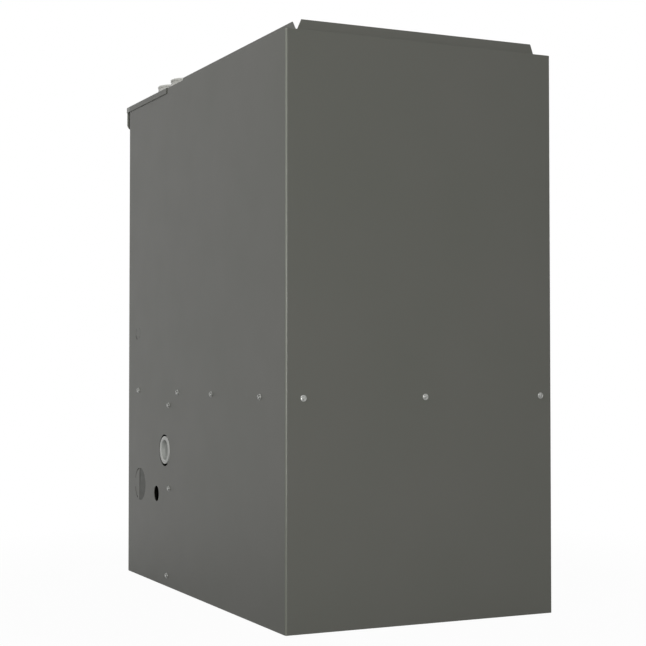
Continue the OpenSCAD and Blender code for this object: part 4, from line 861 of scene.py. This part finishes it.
def capacitor():
    """The run capacitor: a drawn can with a crimped rim, four tabs on its top, and the strap that holds
    it."""
    at = (30, -176, 0)
    can = [(0.02, 120), (20.2, 120), (21.6, 120.6), (22, 122), (22, 196.6), (22.6, 197.4), (22.6, 199.6),
           (22, 200.3), (21, 200.2), (20.4, 198.4), (19, 197.6), (0.02, 197.6)]
    put("run_capacitor_can", [turned(can, at, "z", 64)], STEEL, "run_capacitor", slot="can_aluminium",
        sharp=40)
    strap = [(22.05, 154), (23.4, 154), (24, 154.5), (24, 165.5), (23.4, 166), (22.05, 166), (22.05, 154)]
    parts = [turned(strap, at, "z", 64), box((17, -154.2, 155), (43, -151.4, 165))]
    put("capacitor_strap", parts, GALVANISED, edge=0.3)
    places = [(x, y) for x in (25, 35) for y in (-183, -169)]
    put("capacitor_tabs", [bar(x, y, 3, 0.4, 197, 210, "z") for x, y in places], BRASS, edge=0.15)
    collar = [(0.02, 197.4), (4.6, 197.4), (4.6, 199.2), (4, 199.8), (0.02, 199.8)]
    collars = [turned(collar, (*place, 0), "z", 24) for place in places]
    put("capacitor_insulators", collars, RED_PLASTIC, sharp=40)


def control_board():
    """The control board: a drilled plate on stand-offs with relays, plug sockets, tabs, a chip, capacitors,
    resistors, a fuse and a lamp, all on its front."""
    y = BOARD_Y
    corners = [(x, z) for x in (-187, -43) for z in (178, 302)]
    holes = [circle(x, z, 1.7, 16) for x, z in corners]
    put("control_board_plate", drilled(rounded((-195, 170), (-35, 310), 3), holes, y, y + 1.6, "y"), CIRCUIT,
        "control_board", sharp=30)
    post = [(1.8, -1.6), (3.4, -1.6), (3.5, -1.4), (3.5, -11.6), (3.4, -12.2), (1.8, -12.2), (1.8, -1.6)]
    pale = [turned(post, (x, y, z), "y", 24, -1) for x, z in corners]
    for x0, x1, z0, z1, deep in ((-180, -130, 182, 196, 12), (-110, -84, 182, 194, 14)):
        rim = rounded((x0, z0), (x1, z1), 1.2)
        well = rounded((x0 + 1.4, z0 + 1.4), (x1 - 1.4, z1 - 1.4), 0.6)
        steps = ((rim, y), (rim, y - deep), (well, y - deep), (well, y - 3))
        pale.append(capped(np.stack([on_axis(*loop.T, depth, "y") for loop, depth in steps])))
    put("board_sockets", pale, PALE_PLASTIC, sharp=40)
    pins = [(-176 + 5.25 * k, z) for k in range(9) for z in (186.3, 191.7)]
    pins += [(-106 + 4.5 * k, 188) for k in range(5)]
    metal = [bar(x, z, 0.55, 0.55, y - 10, y - 2.9, "y") for x, z in pins]
    metal += [bar(-176 + 9 * k, 207, 3.1, 0.4, y - 9, y, "y") for k in range(10)]
    metal += [bar(-174.5 + 2.5 * k, z, 0.3, 0.6, y - 2.6, y, "y") for k in range(11) for z in (223.2, 242.8)]
    put("board_pins", metal, BRASS, edge=0.12)
    dark = []
    for x in (-172, -138, -104, -70):
        dark += [bar(x, 274, 12, 12, y - 18, y - 0.2, "y"), bar(x, 274, 10, 10, y - 18.6, y - 17.9, "y")]
    dark += [bar(-162, 233, 14, 9, y - 4, y - 0.6, "y"), bar(-96, 242, 4, 6, y - 3, y - 0.4, "y"),
             bar(-123, 218, 3, 4, y - 2.4, y - 0.3, "y")]
    put("board_relays_and_chips", dark, BLACK_PLASTIC, edge=0.7)
    can = [(0.02, 0), (4.6, 0), (5, 0.4), (5, 1.6), (4.7, 2.2), (5, 2.8), (5, 9.4), (4.6, 10), (3.9, 10),
           (3.7, 9.6), (0.02, 9.6)]
    cans = [turned(can, (x, y, z), "y", 32, -1) for x, z in ((-66, 238), (-52, 238), (-66, 222))]
    put("board_capacitor_cans", cans, STEEL, slot="can_aluminium", sharp=40)
    body = [(0.02, -4), (1.1, -4), (1.5, -3.4), (1.5, -2.6), (1.2, -2), (1.2, 2), (1.5, 2.6), (1.5, 3.4),
            (1.1, 4), (0.02, 4)]
    resistors = [turned(body, (-138 + 5 * k, y - 1.6, 232), "z", 16) for k in range(6)]
    put("board_resistors", resistors, CERAMIC, sharp=50)
    fuse = [box((-56, y - 11, 200), (-44, y - 4, 203.6)), box((-57, y - 4.5, 199.4), (-43, y - 0.2, 204.2))]
    put("board_fuse", fuse, ORANGE_PLASTIC, edge=0.5)
    lamp = [(0.02, -5.6), (1.2, -5.3), (2.1, -4.4), (2.5, -3), (2.5, -0.8), (2.9, -0.8), (2.9, 0), (0.02, 0)]
    put("board_lamp", [turned(lamp, (-122, y, 250), "y", 24)], RED_PLASTIC, sharp=50)


def transformer():
    """The transformer: a core of stacked plates held by four bolts, its taped winding in front, and its
    foot."""
    put("transformer_core", [box((0, -202, 240), (56, -158.2, 290))], LAMINATED, "transformer", edge=0.5)
    winding = prism(rounded((6, -209.6), (50, -196), 5, 6), 245.6, 284.4, "z")
    put("transformer_winding", [winding], WINDING, edge=1.6)
    bobbin = [prism(rounded((4.5, -210), (51.5, -199), 3), z, z + 1.5, "z") for z in (244.2, 284.3)]
    put("transformer_bobbin", bobbin, PALE_PLASTIC, edge=0.3)
    put("transformer_foot", [box((-8, -158, 244), (64, -151.3, 286))], GALVANISED, edge=0.4)
    bolts = heads([(x, z) for x in (4, 52) for z in (242.4, 287.6)], -202, "y", -1, 0.7)
    bolts += heads([(x, z) for x in (-4.5, 60.5) for z in (252, 278)], -158, "y", -1, 0.75)
    put("transformer_bolts", bolts, ZINC, sharp=30)


def wiring():
    """The harness: coloured wires twisted round the two routes of the harness, and nylon ties round
    them."""
    main = [(-120, -190, 176), (-135, -205, 150), (-170, -240, 160), (-180, -250, 220), (-180, -250, 320),
            (-180, -250, 420), (-200, -250, 540), (-190, -290, 590), (-150, -327, 620), (-100, -327, 638),
            (-64.3, -327, 638)]
    fan = [(-60, -190, 176), (-60, -210, 140), (-130, -240, 130), (-170, -260, 200), (-172, -262, 320),
           (-168, -262, 380), (-100, -290, 372), (0, -300, 380), (60, -292, 388), (75, -290, 396),
           (75, -290, 411.6)]
    wires = strands(main, 5, 2.5, 1.3) + strands(fan, 3, 1.3, 1.1)
    for k, (wire, jacket) in enumerate(zip(wires, WIRES + WIRES[:3])):
        nodes = ["wire_harness"] if k == 0 else []
        put("harness_wire_%d" % (k + 1), [wire], jacket, *nodes, sharp=60)
    ties = []
    for route, r, places in ((main, 4.2, (14, 30, 46, 60)), (fan, 2.8, (16, 38, 52))):
        p = soft_line(route)
        for i in places:
            ahead = (p[i + 1] - p[i - 1]) / np.linalg.norm(p[i + 1] - p[i - 1])
            ties.append(tube(p[i] + np.array([[-1.5], [1.5]]) * ahead, r, 16))
    put("harness_ties", ties, PALE_PLASTIC, sharp=40)


blower()
motor()
capacitor()
control_board()
transformer()
wiring()

# ---- burners, gas train and heat exchangers ------------------------------


def burners():
    """The in-shot burners: a bell, a venturi and a flared head turned as one closed wall, with a drilled
    retention disc in each head, a foot under it, and the channels that carry the flame across."""
    profile = [(13, 4.2), (14, 3.8), (16, 4), (16.4, 5.2), (15.6, 8.5), (14, 13), (12.2, 20), (11.2, 28),
               (11, 38), (12, 45), (14.4, 56), (16.6, 66), (18.2, 70.5), (19, 73), (19, 89), (18.3, 90),
               (17.2, 90), (16.8, 88.6), (16.7, 76), (15.6, 71), (13.4, 58), (10.4, 44), (9, 36), (9, 26),
               (10.6, 16), (12.2, 9), (13, 4.2)]
    ports = [circle(*at, 2.5, 12) for at in radial(0, 0, 10.6, np.arange(8) * 45)]
    ports = [circle(0, 0, 4.2, 20), *ports]
    disc, faces = joined(*drilled(circle(0, 0, 16.9, 48), ports, -180.4, -179.4, "y"))
    foot = [(-176, 725.8), (-185, 725.8), (-185, 744)]
    parts = []
    for x in BURNER_X:
        parts += [turned(profile, (x, -262, BURNER_Z), "y", 56), (disc + (x, 0, BURNER_Z), faces),
                  sheet_metal(foot, 1.0, x - 8, x + 8, "x", thick=1.0)]
    parts += [box((x + 17.4, -188, z), (x + 62.6, -174, z + 2.4))
              for x in BURNER_X[:-1] for z in (755.9, 761.6)]
    put("burners_turned", parts, BURNER_STEEL, "burners")


def flame_parts():
    """The igniter's ceramic holder and dark nitride element, the flame sensor's holder and rod, and their
    flanges."""
    igniter, sensor = (-155, -164, 724), (85, -164, 724)
    holder = np.array([(0.02, -14), (4.6, -14), (5.4, -13), (5.8, -11), (5.8, 1), (5.8, 3.2), (5.2, 9),
                       (5.8, 14.6), (4.9, 15.8), (0.02, 15.8)])
    put("igniter_holder", [turned(holder, igniter, "z", 32)], CERAMIC, "igniter", sharp=40)
    element = prism(rounded((-160, 739), (-150, 774), 1.6), -165.4, -162.6, "y")
    put("igniter_element", [element], NITRIDE, edge=0.4)
    slim = holder * (0.82, 1) - (0, 3.4)
    put("flame_sensor_holder", [turned(slim, sensor, "z", 32)], CERAMIC, "flame_sensor", sharp=40)
    flange = np.array([(4.9, 1.3), (8.6, 1.3), (9, 1.6), (9, 2.4), (6.6, 4.1), (4.9, 4.2), (4.9, 1.3)])
    route = np.array([(0, 0, 10), (0, 0, 24), (0, -0.3, 34), (0, 0, 46)]) + sensor
    parts = [turned(flange + (1, 0), igniter, "z", 40), turned(flange, sensor, "z", 40),
             tube(soft_line(route), 1.6, 12)]
    put("flame_part_metal", parts, STEEL, sharp=40)


def switches():
    """The rollout switches and the limit switch: a moulded body with a stepped cap, on a metal strap with
    two push-on tabs each, and the terminals of the door switch."""
    body = [(2.6, 2), (2.6, 10.6), (3.2, 11), (5.4, 11), (5.9, 10.6), (6.2, 9), (8.4, 8.6), (9, 8), (9, 1),
            (8.6, 0.6), (2.6, 0.6), (2.6, 2)]
    solid = [(0.02, 0.6), (9.6, 0.6), (10, 1), (10, 9), (9.4, 9.8), (6.8, 10.2), (6.4, 12.6), (5.8, 13.6),
             (0.02, 14)]
    bodies = [turned(body, (x, -205, 801.2), "z", 40) for x in (-115, 45)]
    bodies.append(turned(solid, (-35, -152.2, 610), "y", 40, -1))
    put("switch_bodies", bodies, BLACK_PLASTIC, "rollout_switches", "limit_switch", sharp=40)
    metal = []
    for x in (-115, 45):
        metal.append(prism(rounded((x - 18, -210), (x + 18, -200), 4.8), 801.2, 802, "z"))
        metal += [bar(side, -215, 0.4, 4, 807, 810.4, "z") for side in (x - 6, x + 6)]
        metal += heads([(x - 14, -205), (x + 14, -205)], 802, "z", 1, 0.55)
    metal.append(prism(rounded((-57, 602), (-13, 618), 5), -153.4, -152.4, "y"))
    metal += heads([(-52, 610), (-18, 610)], -153.4, "y", -1, 0.6)
    metal += [bar(x, 607, 0.4, 3, -172, -165, "y") for x in (-40, -30)]
    metal.append(tube([(-35, -153, 610), (-35, -93, 610)], 4, 16))
    metal += [box((x, -298.2, 309), (x + 6, -290, 309.8)) for x in (-158, -150)]
    put("switch_straps_and_tabs", metal, STEEL)


def gas_valve():
    """The gas valve's cover screws, its two brass test plugs and the slotted cap of its regulator, and the
    screws at the ends of the manifold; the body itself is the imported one."""
    made = heads([(x, z) for x in (-69, -1) for z in (622, 681)], -322, "y", -1, 0.6)
    made += heads([(x, z) for x in (-182, 105) for z in (732, 789)], -262, "y", -1, 0.75)
    put("gas_valve_screws", made, ZINC, sharp=30)
    plug = [(0.02, 0), (5.2, 0), (5.2, 1), (4.2, 1.2), (4.2, 3.4), (3.6, 3.8), (1.8, 3.8), (1.6, 2.6),
            (0.02, 2.6)]
    plugs = [turned(plug, (-58, -322, z), "y", 6, -1) for z in (664, 680)]
    put("gas_valve_test_plugs", plugs, BRASS, edge=0.2, sharp=30)
    cap = [(0.02, 0), (8.6, 0), (9, 0.4), (9, 3), (8.4, 3.6), (6, 3.6), (5.6, 2.8), (0.02, 2.8)]
    parts = [turned(cap, (-12, -275, 702), "z", 40), box((-15.6, -275.8, 704.7), (-8.4, -274.2, 705.7))]
    put("gas_regulator_cap", parts, STEEL, slot="cast_aluminium", sharp=40)


def inducer():
    """The draught inducer's fittings: screws and webs on its moulded housing, the motor's stack of plates
    between two turned bells with windows, and the webs and screws of the collector behind."""
    x, _, z = INDUCER
    web = box((x + 46, -261, z - 1), (x + 64, -258.6, z + 1))
    webs = spun(web, "y", INDUCER, np.arange(8) * 45 + 22)
    webs += [box((at - 1, -199.4, 353), (at + 1, -196, 441)) for at in np.arange(-164, -10, 22)]
    put("collector_and_housing_webs", webs, BLACK_PLASTIC, edge=0.4)
    made = heads(radial(x, z, 60, (45, 135, 225, 315)), -259, "y", -1, 0.8)
    made += heads([(a, b) for a in (-171, -95, -20) for b in (351, 441)], -196.3, "y", -1, 0.8)
    made += heads([(a, b) for a in (172, 216) for b in (412, 476)], -338, "y", -1, 0.7)
    put("inducer_and_box_screws", made, ZINC, sharp=30)
    stack = [(4.2, -308), (42.2, -308), (43, -307.4), (43, -275.6), (42.2, -275), (4.2, -275), (4.2, -308)]
    put("inducer_motor_stack", [turned(stack, INDUCER, "y", 64)], LAMINATED, "inducer_motor", sharp=30)
    bell = [(4.2, -318), (9, -318), (10, -317.6), (10.6, -316), (16, -315.4), (30, -314.6), (36, -313),
            (39, -310.6), (40, -308.2), (4.2, -308.2), (4.2, -318)]
    rear = [(4.2, -274.8), (40, -274.8), (39.4, -270), (37, -266.8), (30, -265.6), (22, -265.4), (22, -259.4),
            (4.2, -259.4), (4.2, -274.8)]
    parts = [turned(line, INDUCER, "y", 64) for line in (bell, rear)]
    parts += spun(box((x + 15, -316.6, z - 2), (x + 33, -314, z + 2)), "y", INDUCER, np.arange(6) * 60)
    parts += heads(radial(x, z, 35.5, (30, 150, 210, 330)), -313.2, "y", -1, 0.6)
    put("inducer_motor_bells", parts, GALVANISED, body=body_of("inducer_motor"))


def pressure_switch():
    """The pressure switch: a turned housing with a rolled rim and a ringed dome, clips round the rim, its
    port, and two terminals."""
    x, y, z = at = (-110, -152.2, 482)
    profile = [(0.02, 0), (20, 0), (20, 6), (34, 6), (35.6, 6.6), (36, 8), (36, 14.2), (35.2, 15.6),
               (33.4, 16.2), (31, 16), (30.2, 17), (29.6, 25), (28.4, 28), (25, 29.6), (22, 29.8), (21, 29),
               (17, 29), (16, 29.8), (11, 29.9), (10, 29.2), (6, 29.2), (4.4, 30), (3.2, 31.4), (3, 33),
               (3, 44), (3.6, 45), (3.2, 47.6), (2.4, 49.4), (1.5, 49.4), (1.5, 34), (0.02, 34)]
    put("pressure_switch_body", [turned(profile, at, "y", 72, -1)], PALE_PLASTIC, "pressure_switch")
    clips = spun(box((x + 31.5, y - 17.2, z - 3), (x + 36.8, y - 5, z + 3)), "y", at, np.arange(8) * 45)
    clips += [bar(side, z + 8, 3.1, 0.4, y - 38, y - 28, "y") for side in (x - 14, x + 14)]
    put("pressure_switch_clips", clips, STEEL, edge=0.3)


def coupling():
    """The rubber coupling between the inducer's neck and the vent pipe, turned with its bell and bead, and
    the two worm-drive clamps round it; the ribbed drain hose and the pressure tube."""
    x, y, _ = at = (*VENT, 0)
    profile = [(27.05, 515.4), (30.4, 515), (31, 515.6), (31, 533), (31.6, 536), (33.4, 539.6), (33.65, 541),
               (33.65, 576.6), (33.2, 577.6), (32, 578), (30.25, 577.6), (30.25, 545), (27.05, 541.6),
               (27.05, 515.4)]
    put("vent_coupling_turned", [turned(profile, at, "z", 72)], RUBBER, "vent_coupling", sharp=45)
    band = np.array([(0, 0), (0.7, 0), (0.8, 0.4), (0.55, 1.2), (0.55, 9.8), (0.8, 10.6), (0.7, 11), (0, 11),
                     (0, 0)])
    clamps = []
    for r, z in ((31.05, 521), (33.7, 558)):
        clamps += [turned(band + (r, z), at, "z", 72),
                   box((x - 8, y - r - 6, z + 1), (x + 8, y - r - 0.3, z + 10)),
                   screw_head((x - 8, y - r - 3.2, z + 5.5), "x", -1, 0.8)]
    put("coupling_clamps", clamps, STEEL, sharp=40)
    z = np.linspace(289, 347, 88)
    ribs = [(7.1, 288.4), *zip(8.4 + 0.6 * np.cos((z - 289) * 2 * pi / 5.3), z), (7.1, 347.4), (7.1, 288.4)]
    put("drain_hose_ribbed", [turned(ribs, (168, -172, 0), "z", 32)], RUBBER, "drain_hose", sharp=60)
    route = [(-110, -202, 482), (-110, -222, 482), (-98, -240, 500), (-70, -240, 515), (-45, -234, 500),
             (-40, -232, 472), (-30, -232, 470), (-17.3, -232, 470)]
    put("pressure_tube_bent", [tube(soft_line(route, 4), 3.5, 20)], RUBBER, "pressure_tube", sharp=60)


def heat_exchangers():
    """The four tubes of three passes each, with the shallow crimps of a cold bend, and the coil of thin
    fins that round tubes pass through."""
    a = np.linspace(-pi / 2, pi / 2, 40)[1:-1]
    y = [np.linspace(-152.2, 255, 24), 255 + 50 * np.cos(a), np.linspace(255, -60, 20), -60 - 50 * np.cos(a),
         np.linspace(-60, 298, 22)]
    z = [np.full(24, 760.0), 710 - 50 * np.sin(a), np.full(20, 660.0), 610 - 50 * np.sin(a),
         np.full(22, 560.0)]
    dents = np.sin(4.5 * a) ** 2
    crimp = [np.zeros(24), dents, np.zeros(20), dents, np.zeros(22)]
    y, z, crimp = [np.concatenate(runs) for runs in (y, z, crimp)]
    parts = [pipe(on_axis(y, z, x, "x"), 22 - 0.5 * crimp, 20.8 - 0.5 * crimp) for x in BURNER_X]
    put("primary_tubes_bent", parts, ALUMINISED, "primary_tubes", sharp=50)
    parts = [box((-176, y, 350), (176, y + 1.5, 440)) for y in (-148.8, 289.5)]
    parts += [bar(0, 395, 172, 43, y - 0.15, y + 0.15, "y") for y in np.linspace(-145.4, 287.6, 200)]
    parts += [prism(circle(-150 + 33 * i + 6 * row, 376 + 38 * row, 6, 16), -148.9, 291.1, "y")
              for i in range(10) for row in (0, 1)]
    put("secondary_coil_finned", parts, FINS, "secondary_coil")


burners()
flame_parts()
switches()
gas_valve()
inducer()
pressure_switch()
coupling()
heat_exchangers()

# ---- nodes whose own shape is right, as one skin each ----------------------

SKINS = {
    "base_pan": (GALVANISED, 0.3),
    "header_rail": (GALVANISED, 0.3),
    "blower_deck": (GALVANISED, 0.3),
    "vestibule_panel": (GALVANISED, 0.3),
    "casing_insulation": (FOIL, 1.5),
    "door_liner": (FOIL, 1.5),
    "blower_rails": (GALVANISED, 0.3),
    "motor_shaft": (STEEL, 0.5),
    "motor_mount": (GALVANISED, 0.4),
    "control_bracket": (GALVANISED, 0.3),
    "door_switch": (BLACK_PLASTIC, 0.6),
    "switch_plunger": (ORANGE_PLASTIC, 0.6),
    "junction_box": (GALVANISED, 0.3),
    "burner_box": (GALVANISED, 0.3),
    "gas_manifold": (BLACK_IRON, 0.6),
    "gas_orifices": (BRASS, 0.3),
    "gas_valve": (CAST, 1.2),
    "gas_valve_knob": (BLACK_PLASTIC, 0.6),
    "grommets": (RUBBER, 0.5),
    "reset_button_left": (RED_PLASTIC, 0.5),
    "reset_button_right": (RED_PLASTIC, 0.5),
    "rear_collector": (ALUMINISED, 0.5),
    "front_collector": (BLACK_PLASTIC, 1.0),
    "inducer_housing": (BLACK_PLASTIC, 1.0),
    "inducer_wheel": (STEEL, 0.0),
    "inducer_fan": (BLACK_PLASTIC, 0.3),
    "condensate_trap": (GREY_PLASTIC, 1.5),
    "trap_bracket": (GALVANISED, 0.3),
}
for node, (material, edge) in SKINS.items():
    dress(node, material, edge)

# ---- floor, light and camera (metres) --------------------------------------

FLOOR_HALF, FLOOR_Z = 14.0, -0.0005
CABINET_INSET = 0.004    # how far inside the cabinet's faces the floor stops glowing
CAMERA_AT, YAW, PITCH = (1.0630, 2.2540, 0.3864), 0.44238, 0.026893
LENS, SENSOR, CLIP = 81.285, 36.0, (0.05, 60)

floor_mesh = bpy.data.meshes.new("studio_floor")
corners = [(x * FLOOR_HALF, y * FLOOR_HALF, FLOOR_Z) for x, y in ((-1, -1), (1, -1), (1, 1), (-1, 1))]
floor_mesh.from_pydata(corners, [], [(0, 1, 2, 3)])
floor = bpy.data.objects.new("studio_floor", floor_mesh)
bpy.context.scene.collection.objects.link(floor)


def shown_white(tree):
    """1 for a ray that shows the stage itself: from the camera, in a reflection or through glass."""
    path = add(tree, "LightPath")
    seen = add(tree, "Math", {0: path["Is Camera Ray"], 1: path["Is Glossy Ray"]}, operation="MAXIMUM")[0]
    return add(tree, "Math", {0: seen, 1: path["Is Transmission Ray"]}, operation="MAXIMUM")[0]


# painted studio floor: nearly white by its own glow, with a share left near the cabinet to take its shadow;
# less glow in what a gloss mirrors of the floor near the cabinet; none under the cabinet, which is open below
floor_paint = bpy.data.materials.new("studio_floor_paint")
floor_paint.use_nodes = True
tree = floor_paint.node_tree
tree.nodes.clear()
matte = add(tree, "BsdfDiffuse", {"Color": colour("a0a0a0")})[0]
glow = add(tree, "Emission", {"Color": (1, 1, 1, 1), "Strength": 1.0})[0]
place = add(tree, "TexCoord")["Object"]
away = add(tree, "VectorMath", {0: place}, operation="LENGTH")["Value"]
near = add(tree, "VectorMath", {0: place}, operation="ABSOLUTE")["Vector"]
foot = (SIDE_X / 1000 - CABINET_INSET, BACK_Y / 1000 - CABINET_INSET, 1)
near = add(tree, "VectorMath", {0: near, 1: foot}, operation="SUBTRACT")["Vector"]
near = add(tree, "SeparateXYZ", {"Vector": near})
near = add(tree, "Math", {0: near["X"], 1: near["Y"]}, operation="MAXIMUM")[0]
clear = add(tree, "Math", {0: near, 1: 0.0}, operation="GREATER_THAN")[0]
shadow = {"Value": away, "From Min": 0.55, "From Max": 1.1, "To Min": 0.97, "To Max": 1.0}
shadow = add(tree, "MapRange", shadow)[0]
share = add(tree, "Math", {0: shown_white(tree), 1: shadow}, operation="MULTIPLY")[0]
mirrored = add(tree, "LightPath")["Is Glossy Ray"]
dimmed = {"Value": away, "From Min": 0.3, "From Max": 1.6, "To Min": 0.45, "To Max": 0.0}
dimmed = add(tree, "MapRange", dimmed)[0]
dimmed = add(tree, "Math", {0: mirrored, 1: dimmed}, operation="MULTIPLY")[0]
kept = add(tree, "Math", {0: 1.0, 1: dimmed}, operation="SUBTRACT")[0]
share = add(tree, "Math", {0: share, 1: kept}, operation="MULTIPLY")[0]
share = add(tree, "Math", {0: share, 1: clear}, operation="MULTIPLY")[0]
mixed = add(tree, "MixShader", {0: share, 1: matte, 2: glow})[0]
add(tree, "OutputMaterial", {"Surface": mixed})
floor_mesh.materials.append(floor_paint)

world = bpy.data.worlds.new("studio")
world.use_nodes = True
tree = world.node_tree
tree.nodes.clear()
white = add(tree, "Background", {"Color": (1, 1, 1, 1), "Strength": 1.0})[0]
dim = add(tree, "Background", {"Color": (1, 1, 1, 1), "Strength": 0.2})[0]
mixed = add(tree, "MixShader", {0: shown_white(tree), 1: dim, 2: white})[0]
add(tree, "OutputWorld", {"Surface": mixed})
bpy.context.scene.world = world


def softbox(name, at, target, width, height, watts):
    """A soft lamp of a width and a height at a place, facing a target."""
    lamp = bpy.data.lights.new(name, "AREA")
    lamp.shape, lamp.size, lamp.size_y, lamp.energy = "RECTANGLE", width, height, watts
    holder = bpy.data.objects.new(name, lamp)
    holder.location = at
    holder.rotation_euler = (Vector(target) - Vector(at)).to_track_quat("-Z", "Y").to_euler()
    bpy.context.scene.collection.objects.link(holder)


softbox("softbox_key", (2.4, 1.6, 2.6), (0, 0, 0.8), 1.2, 1.4, 35)
softbox("softbox_rear", (1.3, 3.0, 0.4), (0, 0, 0.2), 1.6, 1.0, 56)
softbox("softbox_top", (0.3, -0.4, 3.4), (0, 0, 0.4), 2.4, 2.4, 25)
softbox("softbox_front", (-1.4, -3.2, 2.0), (0, 0, 0.5), 2.0, 2.0, 62)
softbox("softbox_left", (-3.0, -0.6, 1.5), (0, 0, 0.5), 1.8, 1.8, 34)

camera_data = bpy.data.cameras.new("camera")
camera_data.lens, camera_data.sensor_width = LENS, SENSOR
camera_data.clip_start, camera_data.clip_end = CLIP
camera = bpy.data.objects.new("camera", camera_data)
camera.location = CAMERA_AT
forward = Vector((-sin(YAW) * cos(PITCH), -cos(YAW) * cos(PITCH), sin(PITCH)))
camera.rotation_euler = forward.to_track_quat("-Z", "Y").to_euler()
bpy.context.scene.collection.objects.link(camera)
bpy.context.scene.camera = camera
bpy.context.scene.view_settings.view_transform = "Standard"
